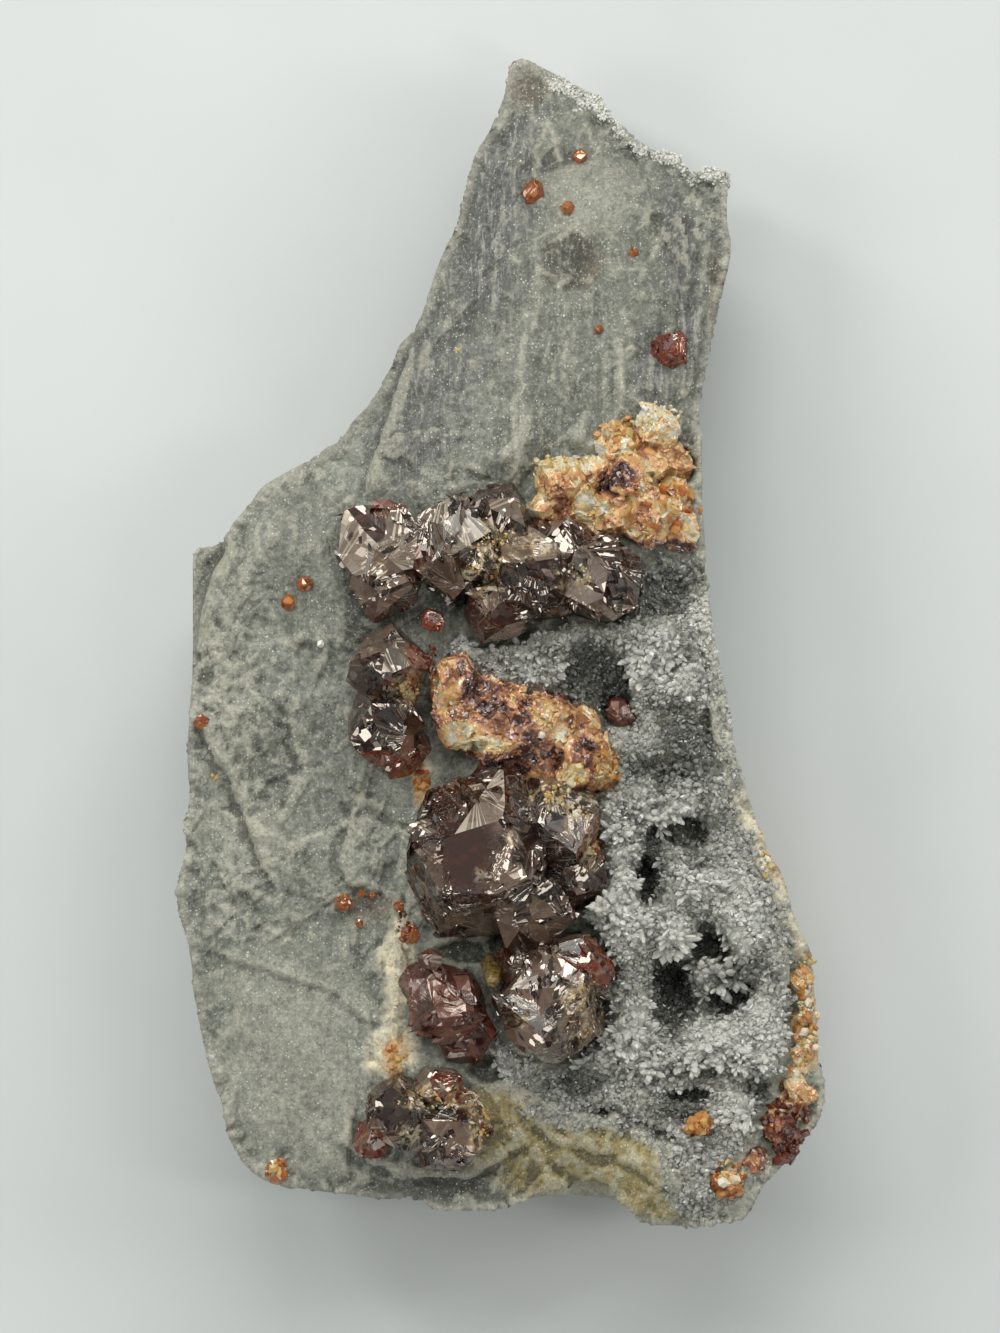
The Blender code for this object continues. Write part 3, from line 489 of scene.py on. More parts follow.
def slab_sides(points, loop):
    """Rings of points from under the rim down to the bed."""
    top = points[loop]
    rings = []
    for number in range(1, SIDE_RINGS + 1):
        share = 1 - number / SIDE_RINGS
        flat = smoothed_loop(top[:, :2], np.interp(share, SIDE_SHARE, SIDE_SPREAD))
        along = np.roll(flat, -1, axis=0) - np.roll(flat, 1, axis=0)
        outward = np.stack([along[:, 1], -along[:, 0]], axis=1)
        outward /= np.linalg.norm(outward, axis=1)[:, None]
        height = top[:, 2] * share
        solid = np.column_stack([flat, height])
        rough_side = 0.9 * fractal(solid / 6.5, 3, 71) + 0.9 * chips(solid / (4.2, 4.2, 3.4), 73)
        rough_side += 0.4 * chips(solid / 1.5, 79)
        calm = min(number / 5, 1.0) * min((SIDE_RINGS - number) / 4 + 0.35, 1.0)
        inset = np.interp(share, SIDE_SHARE, SIDE_INSET)
        flat = flat + outward * np.minimum(rough_side * calm - inset, 0.15)[:, None]
        wobble = 0.3 * smooth_noise(solid / 1.8, 83) * calm * (number < SIDE_RINGS)
        rings.append(np.column_stack([flat, np.maximum(height + wobble, 0.0)]))
    return rings


def closed_slab(points, squares, loop):
    """The face, the sides and the back as one list of points and faces."""
    rings = slab_sides(points, loop)
    faces = [tuple(square) for square in squares.tolist()]
    count = len(loop)
    upper = list(loop)
    for number in range(SIDE_RINGS):
        first = len(points) + number * count
        lower = list(range(first, first + count))
        for n in range(count):
            after = (n + 1) % count
            faces.append((upper[after], upper[n], lower[n], lower[after]))
        upper = lower
    faces.append(tuple(reversed(upper)))
    return np.concatenate([points, *rings]), faces


def put_in_scene(name, data):
    """A new object in the scene for a mesh, a lamp or a camera."""
    made = bpy.data.objects.new(name, data)
    bpy.context.scene.collection.objects.link(made)
    return made


def add_mesh(name, points, faces):
    """A new object from points in millimetres."""
    mesh = bpy.data.meshes.new(name)
    mesh.from_pydata((np.asarray(points) * MM).tolist(), [], faces)
    mesh.validate()
    return put_in_scene(name, mesh)


def mesh_of(bm, name):
    """The mesh that a bmesh makes; the bmesh is freed."""
    mesh = bpy.data.meshes.new(name)
    bm.to_mesh(mesh)
    bm.free()
    return mesh


def read_all(items, name, width=3, kind=float):
    """One property of all of a mesh's points, faces or corners, with a row for each."""
    values = np.empty(len(items) * width, kind)
    items.foreach_get(name, values)
    return values.reshape(-1, width) if width > 1 else values


def paint(piece, name, values, domain="POINT"):
    """Keeps one number for each point, face or corner of a piece, for its material to read."""
    layer = piece.data.attributes.new(name, "FLOAT", domain)
    layer.data.foreach_set("value", np.asarray(values, np.float32))


slab_points, slab_faces = closed_slab(face_points, face_squares, rim)
rock = add_mesh("rock_slab", slab_points, slab_faces)
rock.data.shade_smooth()
print("the slab's mesh has", len(rock.data.polygons), "faces")

# %% [markdown]
# ## Shader sums
# A material is easier to read as arithmetic than as a web of nodes. `Wire` wraps a socket, so
# that `1 - mask * 0.5` adds its own Math nodes. `Finish` owns a material and makes every other
# node with one method.

# %% Wires and finishes
class Wire:
    """A shader socket that can stand in a sum."""

    def __init__(self, finish, socket):
        self.finish = finish
        self.socket = socket

    def maths(self, operation, first, second):
        return self.finish.node("Math", {"operation": operation}, {0: first, 1: second})

    def __add__(self, other):
        return self.maths("ADD", self, other)

    def __radd__(self, other):
        return self.maths("ADD", other, self)

    def __sub__(self, other):
        return self.maths("SUBTRACT", self, other)

    def __rsub__(self, other):
        return self.maths("SUBTRACT", other, self)

    def __mul__(self, other):
        return self.maths("MULTIPLY", self, other)

    def __rmul__(self, other):
        return self.maths("MULTIPLY", other, self)

    def between(self, low, high):
        """0 at low, 1 at high, and smooth between."""
        settings = {"interpolation_type": "SMOOTHSTEP"}
        return self.finish.node("MapRange", settings, {"Value": self, 1: low, 2: high})


class Finish:
    """The node tree of a material or a world, which is filled by expressions."""

    def __init__(self, owner):
        owner.use_nodes = True
        self.owner = owner
        self.tree = owner.node_tree
        self.tree.nodes.clear()

    def node(self, kind, settings=None, inputs=None, output=0):
        """A node: its settings are set first, then the values or wires of its sockets."""
        made = self.tree.nodes.new("ShaderNode" + kind)
        for name, value in (settings or {}).items():
            if name == "stops":
                while len(made.color_ramp.elements) < len(value):
                    made.color_ramp.elements.new(1.0)
                for element, (place, colour) in zip(made.color_ramp.elements, value):
                    element.position = place
                    element.color = colour
            else:
                setattr(made, name, value)
        for name, value in (inputs or {}).items():
            if isinstance(value, Wire):
                self.tree.links.new(value.socket, made.inputs[name])
            else:
                made.inputs[name].default_value = value
        return Wire(self, made.outputs[output])

    def painted(self, name):
        """A number that the mesh carries."""
        return self.node("Attribute", {"attribute_name": name}, output="Fac")

    def place(self, stretch=(1.0, 1.0, 1.0)):
        """The place on the piece in millimetres, squeezed along each axis."""
        scale = [1 / (MM * part) for part in stretch]
        position = self.node("TexCoord", output="Object")
        return self.node("VectorMath", {"operation": "MULTIPLY"}, {0: position, 1: scale})

    def noise(self, per_mm, detail=3.0, roughness=0.55, stretch=(1.0, 1.0, 1.0)):
        values = {"Vector": self.place(stretch), "Scale": per_mm}
        return self.node("TexNoise", None, values | {"Detail": detail, "Roughness": roughness})

    def drawn(self, cells):
        """A random number from 0 to 1 for each grain of a pattern."""
        return self.node("SeparateColor", None, {0: Wire(self, cells.socket.node.outputs["Color"])})

    def glints(self, per_mm, radius, share):
        """Bright dots, one in some of the cells of a grain pattern."""
        cells = self.node("TexVoronoi", None, {"Vector": self.place(), "Scale": per_mm})
        near = (0 - cells).between(-radius, -radius * 0.55)
        return near * (0 - self.drawn(cells)).between(-share, 0.05 - share)

    def plates(self, per_mm, stretch=(1.0, 1.0, 1.0)):
        """The heights, in millimetres, of flat chips that each lean their own way."""
        place = self.place(stretch)
        cells = self.node("TexVoronoi", None, {"Vector": place, "Scale": per_mm}).socket.node
        settings = {"operation": "SUBTRACT"}
        colour = Wire(self, cells.outputs["Color"])
        lean = self.node("VectorMath", settings, {0: colour, 1: (0.5, 0.5, 0.5)})
        away = self.node("VectorMath", settings, {0: place, 1: Wire(self, cells.outputs["Position"])})
        return self.node("VectorMath", {"operation": "DOT_PRODUCT"}, {0: lean, 1: away}, "Value")

    def wedges(self, angle, per_radian):
        """A chance for each wedge in a fan of narrow facets, and the height of its leaning flat."""
        values = {"W": angle, "Scale": per_radian}
        cells = self.node("TexVoronoi", {"voronoi_dimensions": "1D"}, values)
        drawn = self.drawn(cells)
        return drawn, (angle - Wire(self, cells.socket.node.outputs["W"])) * (drawn - 0.5)

    def chance(self, per_mm):
        """A random number for each grain of a pattern of its own."""
        return self.drawn(self.node("TexVoronoi", None, {"Vector": self.place(), "Scale": per_mm}))

    def seams(self, per_mm, width):
        """1 along the borders between chips, 0 within them."""
        values = {"Vector": self.place(), "Scale": per_mm}
        border = self.node("TexVoronoi", {"feature": "DISTANCE_TO_EDGE"}, values)
        return 1 - border.between(width * 0.3, width)

    def mix(self, share, first, second):
        """Between two colours; share is a number or a wire."""
        return self.node("Mix", {"data_type": "RGBA"}, {0: share, 6: first, 7: second}, 2)

    def bump(self, height, distance, strength=1.0):
        """Normals for heights that are given in units of the distance, in millimetres."""
        return self.node("Bump", None, {"Height": height, "Distance": distance * MM, "Strength": strength})


def rgb(red, green, blue):
    return (red, green, blue, 1.0)


def new_finish(name):
    return Finish(bpy.data.materials.new(name))


def complete(finish, values):
    """Ends a material in a Principled shader with these socket values and wires, and returns it."""
    shader = finish.node("BsdfPrincipled", None, values)
    finish_output = finish.tree.nodes.new("ShaderNodeOutputMaterial")
    finish.tree.links.new(shader.socket, finish_output.inputs["Surface"])
    return finish.owner


# %% [markdown]
# ## What colours the rock
# The rock is a fine grey-green mass of pale and dark grains. It is tinted in places: bluish
# purple on the upper left facet, pale along the fold, brown and cream beside the garnets, and
# yellow-green at the foot. Light and shade are painted in as well: painted shade near black in
# the pits and gaps, a painted highlight on raised places and along the slab's thin edge, and
# painted shade in low places. Each tint, and each painted highlight and shade, is a number kept
# on the mesh's points.

# %% Tints and painted shade of the rock
VIOLET_SPOTS = spot_table(
    (-1.5, 42, 4.4, 15, -12), (-7.5, 27, 4.5, 9, -20), (19.5, 38, 1.8, 9, 8), (16, 27, 2, 6, 5),
)
PALE_SPOTS = spot_table(
    (9, 46.8, 4.4, 3.7, -20), (3.3, 36.2, 0.8, 2.8, -8), (2.4, 26, 0.3, 9, -3), (3.2, 53, 0.3, 4, -3),
    (12.3, 28.8, 0.5, 2.6, 8), (22.5, 50, 3, 1.4), (-20, 18.6, 9, 1.6, 32), (-16, 24, 1.4, 6, -36),
    (-28, 3, 1, 9, -14), (-28.5, -9, 3, 9), (-27, -20, 6, 4, -14), (-22, -44, 9, 12),
    (-23, -56, 5, 1.6), (-14.4, -19.5, 1.4, 3.6, 20), (-11, -9.5, 1.4, 1), (-8, -13.6, 1.4, 2.4),
)
BROWN_SPOTS = spot_table(
    (7.4, 39.8, 3.4, 3.1), (-14, -28, 2.6, 1.6), (22.9, 33, 0.9, 8), (2.8, 58.4, 2.4, 2.6),
    (30.6, -53.6, 2.8, 5, -30),
)
CREAM_SPOTS = spot_table(
    (-11.2, -34.4, 1.6, 6.4), (-11.4, -43.2, 2.8, 3.6), (-8.6, -14.4, 1, 3),
    (28.2, -21.6, 2.2, 6.4, 24), (32, -32, 1.4, 5.4, 8),
)
OCHRE_SPOTS = spot_table(
    (-11, -43.6, 1.3, 2.5), (-8.4, -15.4, 0.7, 2), (28.6, -22.5, 1, 4.5, 22), (33.2, -38, 1.4, 9, -4),
)
MOSS_SPOTS = spot_table(
    (9, -54.5, 10.5, 5.4), (17, -58, 6, 4), (0.5, -50, 4, 2.6), (22, -2.5, 1.4, 5, -10),
)
# painted shade: near-black paint in the pits, notches and gaps beside the crystals, where shade falls
HOLLOW_SHADE_SPOTS = PIT_SPOTS + spot_table(
    (-8, -57.6, 8, 2.2), (4.8, 50.4, 3.8, 1.4, 12), (20.5, 18.8, 1.5, 2.4), (-30, 9.4, 1.6, 1.6),
    (-10, 3, 5, 2), (-14.6, 2, 1.6, 3), (7.4, 39.9, 2.6, 2.4),
)
SHADED_SPOTS = spot_table((8, 40, 20, 24), (12, 20, 16, 8), (-20, 10, 6, 9), (-21, -14, 5, 7))
HAIRLINES = (  # thin pale veins and healed cracks
    (-33.2, -22.9, -22.3, -28.4), (-29.2, -27.7, -22.1, -31.8), (-22.8, -31.8, -20.2, -28.7),
    (-30.9, -0.3, -25.0, -6.7), (-31.5, -17.0, -24.0, -20.5), (-27.0, 1.0, -20.0, -1.5),
    (-30.5, -5.5, -22.0, -12.5), (-26.0, -36.0, -30.5, -44.0), (-19.0, -20.5, -26.5, -24.5),
    (-16.4, -58.4, -15.9, -51.2), (12.3, 31.5, 12.9, 26.5), (5.2, 54.5, 6.3, 50.6),
    (2.6, 33.0, 1.4, 24.0), (1.4, 24.0, 1.9, 17.0), (-12.5, 33.5, -16.5, 24.5),
)
TINTS_AND_SHADES = {
    "violet": (VIOLET_SPOTS, 0.7), "pale": (PALE_SPOTS, 0.45), "brown": (BROWN_SPOTS, 0.4),
    "cream": (CREAM_SPOTS, 0.6), "ochre": (OCHRE_SPOTS, 0.5), "moss": (MOSS_SPOTS, 0.5),
    "dark": (HOLLOW_SHADE_SPOTS, 0.35), "shaded": (SHADED_SPOTS, 0.3),
}


def on_slab(field):
    """A field of the grid read at every point of the slab; the sides take it from the rim."""
    on_face = field.ravel()[used]
    return np.concatenate([on_face, np.tile(on_face[rim], SIDE_RINGS)])


def hairline_field():
    """1 on the thin veins, broken up along their length."""
    wavy = FLAT_PLACES + 0.35 * smooth_noise(grid_points(1.6, 1.6, 7.5), 95)[:, None]
    strength = ramp(smooth_noise(grid_points(2.2, 2.2, 1.5), 93), -0.6, 0.3)
    field = np.zeros(len(FLAT_PLACES))
    for x0, y0, x1, y1 in HAIRLINES:
        away, _, past = beside_line(wavy, ((x0, y0), (x1, y1)))
        field = np.maximum(field, ramp(away, 0.42, 0.12) * ramp(past, 1.0, 0.0))
    return over_grid(field * strength)


def paint_rock():
    for number, (name, (spots, raggedness)) in enumerate(TINTS_AND_SHADES.items()):
        paint(rock, name, on_slab(spots_field(spots, 90 + number, raggedness)))
    # proud: how far each place stands above its neighbours, for the painted highlight on raised places and
    # the painted shade in low ones
    proud = face - filled(face, on_rock, 0.75)
    paint(rock, "proud", on_slab(np.where(on_rock, proud, 0.0)))
    # painted highlight: the slab's thin rounded edge, and the sides below it, are painted paler
    paint(rock, "rim", on_slab(ramp(edge_nearness, 0.15, 0.5)))
    paint(rock, "hairline", on_slab(hairline_field()))
    paint(rock, "even", on_slab(spots_field(EVEN_SPOTS, 31)))
    quartz_margin = ramp(druse_margin, 0.06, 0.22) * ramp(PLACE_X - 0.25 * PLACE_Y, 14.0, 19.0)
    paint(rock, "quartz", on_slab(np.maximum(quartz_margin, 0.8 * on_crest)))


paint_rock()
print("tints of the rock:", list(TINTS_AND_SHADES))


# %% Finish of the rock
def rock_finish():
    f = new_finish("grey_green_rock")
    cloud = f.noise(0.14, 5.0, 0.62)
    mottle = f.noise(0.6, 7.0, 0.68)
    uneven = 1 - f.painted("even") * 0.65
    cool = f.noise(0.3, 5.0, 0.7, (1.0, 2.2, 1.0))
    colour = f.mix(cloud.between(0.36, 0.66), rgb(0.166, 0.18, 0.148), rgb(0.272, 0.286, 0.245))
    colour = f.mix(cool.between(0.48, 0.72) * 0.4, colour, rgb(0.19, 0.215, 0.195))
    colour = f.mix(mottle.between(0.46, 0.64) * uneven * 0.5, colour, rgb(0.09, 0.093, 0.072))
    colour = f.mix((1 - mottle).between(0.54, 0.68) * uneven * 0.48, colour, rgb(0.42, 0.42, 0.34))
    colour = f.mix(f.painted("shaded") * 0.4, colour, rgb(0.115, 0.118, 0.095))
    streaks = f.noise(0.8, 5.0, 0.7, (0.45, 3.2, 1.0))
    violet = f.painted("violet")
    colour = f.mix(violet * (0.3 + streaks.between(0.42, 0.6) * 0.55), colour, rgb(0.095, 0.094, 0.108))
    colour = f.mix(f.painted("moss") * 0.86, colour, rgb(0.36, 0.28, 0.09))
    fibres = f.noise(1.6, 4.0, 0.6, (0.6, 2.2, 1.0))
    brown = f.painted("brown") * (0.5 + fibres.between(0.4, 0.6) * 0.4)
    colour = f.mix(brown, colour, rgb(0.125, 0.095, 0.062))
    sugar = f.noise(1.4, 5.0, 0.75)
    sugary = f.mix(sugar.between(0.38, 0.62), rgb(0.24, 0.25, 0.2), rgb(0.66, 0.66, 0.58))
    colour = f.mix(f.painted("quartz") * 0.85, colour, sugary)
    pale = f.painted("pale") * (0.2 + mottle.between(0.3, 0.6) * 0.35)
    colour = f.mix(pale, colour, rgb(0.4, 0.4, 0.33))
    colour = f.mix(f.painted("cream") * 0.94, colour, rgb(0.88, 0.79, 0.56))
    colour = f.mix(f.painted("ochre") * 0.9, colour, rgb(0.6, 0.34, 0.1))
    # painted shade: the pits, notches and gaps are painted near black
    colour = f.mix(f.painted("dark") * 0.85, colour, rgb(0.05, 0.053, 0.042))
    light_streaks = streaks.between(0.52, 0.64) * (0.26 + violet * 0.46)
    colour = f.mix(light_streaks, colour, rgb(0.37, 0.39, 0.34))
    dark_streaks = (1 - streaks).between(0.52, 0.64) * (0.18 + violet * 0.42)
    colour = f.mix(dark_streaks, colour, rgb(0.06, 0.064, 0.062))
    colour = f.mix(f.painted("hairline") * 0.75, colour, rgb(0.52, 0.51, 0.42))
    # painted highlight on raised places and painted shade in low ones
    proud = f.painted("proud")
    colour = f.mix(proud.between(0.02, 0.2) * 0.5, colour, rgb(0.48, 0.47, 0.38))
    colour = f.mix((0 - proud).between(0.02, 0.24) * 0.6, colour, rgb(0.05, 0.052, 0.04))
    # painted highlight along the slab's thin edge and down its sides
    colour = f.mix(f.painted("rim") * 0.55, colour, rgb(0.54, 0.53, 0.45))
    shade = (f.chance(2.4) - 0.5) * 0.8 + (f.chance(5.0) - 0.5) * 1.2
    colour = f.mix(shade.between(0.1, 0.9) * 0.34, colour, rgb(0.52, 0.52, 0.43))
    colour = f.mix((0 - shade).between(0.1, 0.9) * 0.38, colour, rgb(0.045, 0.047, 0.037))
    clustered = f.noise(0.35, 4.0, 0.6).between(0.4, 0.62)
    glints = f.glints(1.5, 0.17, 0.34) * (0.35 + clustered * 0.65)
    fine_glints = f.glints(3.0, 0.26, 0.45) * (0.25 + clustered * 0.75)
    sparkle = f.node("Math", {"operation": "MAXIMUM"}, {0: glints, 1: fine_glints * 0.85})
    colour = f.mix(sparkle * 0.8, colour, rgb(0.84, 0.86, 0.8))
    grainy = f.plates(1.2) * 0.28 + f.plates(3.0) * 0.6 + mottle * -0.22
    grainy = grainy + streaks * (violet * 0.3 + 0.08)
    return complete(f, {"Base Color": colour, "Roughness": 0.58 - sparkle * 0.35, "IOR": 1.5,
                        "Normal": f.bump(grainy, 1.0)})


rock.data.materials.append(rock_finish())
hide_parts("matrix")
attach(rock, "root")
print("the rock is finished")

# %% [markdown]
# ## Garnet crystals
# A garnet grows as a rhombic dodecahedron, twelve equal diamonds, with its edges cut off by
# narrower faces. The main crystals are the same as in the solids: a block is clipped by one
# plane for each face. A real face isn't one mirror, though. It is split into a fan of facets a
# few degrees apart, and smaller crystals stand on it in step with it. So each main crystal gets
# slightly tilted extra cuts, and then many small parallel crystals joined on.

# %% Crystal directions
Crystal = namedtuple("Crystal", "x y rise size front twist lean_to lean", defaults=(0.0, 0.0, 0.0))
EDGE_BEVEL = 1.1
UNEVEN = 0.07
SMALLEST_BEVELLED = 3.6


def crystal_table(*rows):
    """Crystals from rows of a place, a rise, a size, what they turn to the front, and their turns."""
    return tuple(Crystal(*row) for row in rows)


def signed_forms(a, b, c):
    """Every direction with these three indices, in any order and with any signs."""
    found = set()
    for i, j, k in {(a, b, c), (b, c, a), (c, a, b), (a, c, b), (b, a, c), (c, b, a)}:
        for signs in range(8):
            found.add((i * (1 - 2 * (signs & 1)), j * (1 - (signs & 2)), k * (1 - (signs & 4) // 2)))
    return [Vector(d).normalized() for d in sorted(found)]


RHOMBIC_FACES = signed_forms(1, 1, 0)
BEVEL_FACES = signed_forms(2, 1, 1)
FRONTS = {"face": Vector((1, 1, 0)), "corner": Vector((1, 1, 1)), "peak": Vector((1, 0, 0))}


def clipped(bm, normal, distance):
    """Cuts away what lies beyond a plane at this distance from the origin, and caps the cut."""
    cut = bmesh.ops.bisect_plane(
        bm,
        geom=bm.verts[:] + bm.edges[:] + bm.faces[:],
        plane_co=normal * distance,
        plane_no=normal,
        clear_outer=True,
    )
    rim_edges = [part for part in cut["geom_cut"] if isinstance(part, bmesh.types.BMEdge)]
    if rim_edges:
        bmesh.ops.contextual_create(bm, geom=rim_edges)


def crystal_turn(crystal):
    """The rotation that turns a crystal's chosen side to the front, then twists and leans it."""
    to_front = FRONTS[crystal.front].normalized().rotation_difference(Vector((0, 0, 1)))
    lean_axis = Matrix.Rotation(math.radians(crystal.lean_to + 90), 3, "Z") @ Vector((1, 0, 0))
    twist = Matrix.Rotation(math.radians(crystal.twist), 4, "Z")
    return Matrix.Rotation(math.radians(crystal.lean), 4, lean_axis) @ twist @ to_front.to_matrix().to_4x4()


def face_axes(normal):
    """The short and the long diagonal of a rhombic face; their halves are 0.707 and 1 inradius."""
    short = Vector([1.0 if abs(part) < 0.1 else 0.0 for part in normal])
    return short, normal.cross(short)


def split_face(bm, normal, distance, size, kind, rng):
    """Splits a rhombic face into facets that meet at one point of it: its hub."""
    short, long = face_axes(normal)
    if kind == "fan":
        hub = rng.choice((short * 0.68, -short * 0.68, long * 0.9, -long * 0.9)) * size
        first, reach, count = -hub.normalized(), 65, rng.randint(3, 5)
        turns = [reach * (2 * (n + rng.uniform(0.25, 0.75)) / count - 1) for n in range(count)]
        tilts = [rng.uniform(3.0, 12.0) for _ in turns]
    elif kind == "hip":
        hub = (short * rng.uniform(-0.25, 0.25) + long * rng.uniform(-0.35, 0.35)) * size
        first, count = short, rng.randint(3, 4)
        turns = [360 * (n + rng.uniform(-0.2, 0.2)) / count + rng.uniform(0, 30) for n in range(count)]
        tilts = [rng.uniform(5.0, 14.0) for _ in turns]
    else:
        hub = rng.choice((short * 0.45, -short * 0.45, long * 0.6, -long * 0.6)) * size
        first, turns, tilts = hub.normalized(), [rng.uniform(-25, 25)], [rng.uniform(5, 10)]
    for around, tilt in zip(turns, tilts):
        towards = Matrix.Rotation(math.radians(around), 3, normal) @ first
        lean = math.radians(tilt)
        tilted = (normal * math.cos(lean) + towards * math.sin(lean)).normalized()
        clipped(bm, tilted, tilted.dot(normal * distance + hub))


def main_crystal(size, seed, calm_face=None):
    """A large crystal: the solid's faces, each split into facets a few degrees apart."""
    rng = random.Random(seed)
    bm = bmesh.new()
    bmesh.ops.create_cube(bm, size=size * 8)
    distances = [size * rng.uniform(1 - UNEVEN, 1 + UNEVEN) for _ in RHOMBIC_FACES]
    for normal, distance in zip(RHOMBIC_FACES, distances):
        clipped(bm, normal, distance)
    if size >= SMALLEST_BEVELLED:
        for normal in BEVEL_FACES:
            clipped(bm, normal, size * rng.uniform(EDGE_BEVEL - 0.03, EDGE_BEVEL + 0.04))
    for normal, distance in zip(RHOMBIC_FACES, distances):
        kinds = ("calm",) if normal == calm_face else rng.choice((("fan", "hip"), ("hip", "fan"), ("fan",)))
        for kind in kinds:
            split_face(bm, normal, distance, size, kind, rng)
    return mesh_of(bm, "crystal")


def plain_crystal():
    """A sharp rhombic dodecahedron whose faces are one millimetre from its middle."""
    bm = bmesh.new()
    bmesh.ops.create_cube(bm, size=8)
    for normal in RHOMBIC_FACES:
        clipped(bm, normal, 1.0)
    return mesh_of(bm, "small_crystal")


SMALL_CRYSTAL = plain_crystal()
print("a small crystal has", len(SMALL_CRYSTAL.polygons), "faces")

# %% [markdown]
# ### Splinters on the faces
# A garnet that grew fast, or that was struck, has faces broken into fans of thin splinters with
# shallow steps between them. Each splinter here is a small crystal drawn out along the face,
# away from the corner its fan starts from, and sunk until it stands a fraction of a millimetre
# proud.

# %% Growth on faces
Growth = namedtuple("Growth", "per_mm2 lengths proud turn tilt")
STEPPED = Growth(0.24, (0.08, 0.34), (0.05, 0.36), 16, 10)
CLEAN = Growth(0.14, (0.08, 0.3), (0.04, 0.28), 14, 8)
CLEAN_GROUPS = ("garnet_large", "garnet_upper_left", "garnet_middle_left")
RIM_SHARE = 0.4  # of the splinters lie near the edges of a face, and are shorter
CORNERS = np.array([vertex.co for vertex in SMALL_CRYSTAL.vertices])


def splinter(length, toward, normal, tilt, rng):
    """The turn and stretch that make a splinter out of the small crystal, as a 3 by 3 matrix."""
    beside = normal.cross(toward)
    width = length * rng.uniform(0.25, 0.6)
    depth = width * rng.uniform(0.25, 0.6)
    rolled = Matrix.Rotation(rng.choice((0.0, math.pi / 4, rng.uniform(0, math.tau))), 3, "X")
    stretched = Matrix((toward * length, beside * width, normal * depth)).transposed()
    return Matrix.Rotation(math.radians(tilt), 3, beside) @ stretched @ rolled


def growth_on(carrier, size, turn, place, growth, calm_face, rng):
    """The transforms of splinters that lie on a large crystal's visible faces."""
    surface = BVHTree.FromPolygons([v.co for v in carrier.vertices],
                                   [p.vertices[:] for p in carrier.polygons])
    hubs = {}
    for normal in RHOMBIC_FACES:
        short, long = face_axes(normal)
        hubs[tuple(normal)] = rng.choice((short * 0.9, short * -0.9, long * 1.2, long * -1.2)) * size
    grown = []
    for _ in range(int(growth.per_mm2 * 17 * size * size)):
        normal = rng.choice(RHOMBIC_FACES)
        at_rim = rng.random() < RIM_SHARE
        reach = rng.uniform(0.85, 1.02) if at_rim else 0.8 * math.sqrt(rng.random())
        split = rng.random()
        across, along = reach * split * rng.choice((-1, 1)), reach * (1 - split) * rng.choice((-1, 1))
        if (turn @ normal).z < -0.15 or (normal == calm_face and reach < 0.7):
            continue
        short, long = face_axes(normal)
        over = short * across * 0.707 * size + long * along * size
        hit = surface.ray_cast(over + normal * size * 3, -normal)[0]
        if hit is None:
            continue
        low, high = growth.lengths if not at_rim else (growth.lengths[0], growth.lengths[1] * 0.6)
        length = max(size * low * (high / low) ** rng.random(), 0.16)
        astray = Matrix.Rotation(math.radians(rng.gauss(0, growth.turn)), 3, normal)
        toward = astray @ (over - hubs[tuple(normal)]).normalized()
        shape = splinter(length, toward, normal, rng.uniform(-1, 1) * growth.tilt, rng)
        top = float((CORNERS @ np.array(shape).T @ np.array(normal)).max())
        proud = rng.uniform(*growth.proud) * min(1.0, size / 4)
        local = Matrix.Translation(hit + normal * (proud - top)) @ shape.to_4x4()
        grown.append(Matrix.Translation(place) @ turn @ local)
    return grown


# %% Joining crystals into one body
def joined(name, parts):
    """One closed mesh from many overlapping ones, given as pairs of a mesh and its transform."""
    collection = bpy.data.collections.new("parts")
    bpy.context.scene.collection.children.link(collection)
    made = []
    for mesh, transform in parts:
        copy = mesh.copy()
        copy.transform(transform)
        if transform.determinant() < 0:
            copy.flip_normals()
        made.append(bpy.data.objects.new("part", copy))
    first, *others = made
    bpy.context.scene.collection.objects.link(first)
    for other in others:
        collection.objects.link(other)
    if others:
        union = first.modifiers.new("joined", "BOOLEAN")
        union.operation = "UNION"
        union.solver = "MANIFOLD"
        union.operand_type = "COLLECTION"
        union.collection = collection
    seen = first.evaluated_get(bpy.context.evaluated_depsgraph_get())
    mesh = bpy.data.meshes.new_from_object(seen)
    mesh.name = name
    for part in made:
        leftover = part.data
        bpy.data.objects.remove(part)
        bpy.data.meshes.remove(leftover)
    bpy.data.collections.remove(collection)
    mesh.transform(Matrix.Scale(MM, 4))
    mesh.shade_flat()
    return put_in_scene(name, mesh)


def refine(mesh, longest):
    """Splits a mesh into triangles with no edge longer than this, in millimetres."""
    bm = bmesh.new()
    bm.from_mesh(mesh)
    for _ in range(7):
        bmesh.ops.triangulate(bm, faces=bm.faces[:])
        long_edges = [edge for edge in bm.edges if edge.calc_length() > longest * MM]
        if not long_edges:
            break
        bmesh.ops.subdivide_edges(bm, edges=long_edges, cuts=1)
    bmesh.ops.triangulate(bm, faces=bm.faces[:])
    bm.to_mesh(mesh)
    bm.free()
    mesh.shade_flat()


def crumble(piece, size, height, seed):
    """Breaks a surface into small flat grains; returns the faces' middles and a chance for each."""
    mesh = piece.data
    points, normals = read_all(mesh.vertices, "co") / MM, read_all(mesh.vertices, "normal")
    lift = chips(points / size, seed) + 0.3 * chips(points / size * 2.1, seed + 20)
    moved = points + normals * (height * lift)[:, None]
    mesh.vertices.foreach_set("co", (moved * MM).ravel())
    mesh.update()
    centres = read_all(mesh.polygons, "center") / MM
    coarse, fine = chip_cells(centres / size, seed)[1], chip_cells(centres / size * 2.1, seed + 20)[1]
    return centres, 0.65 * coarse + 0.35 * fine


FLAT_TURNS = 6.28  # radians that the fans of the flats are spread over


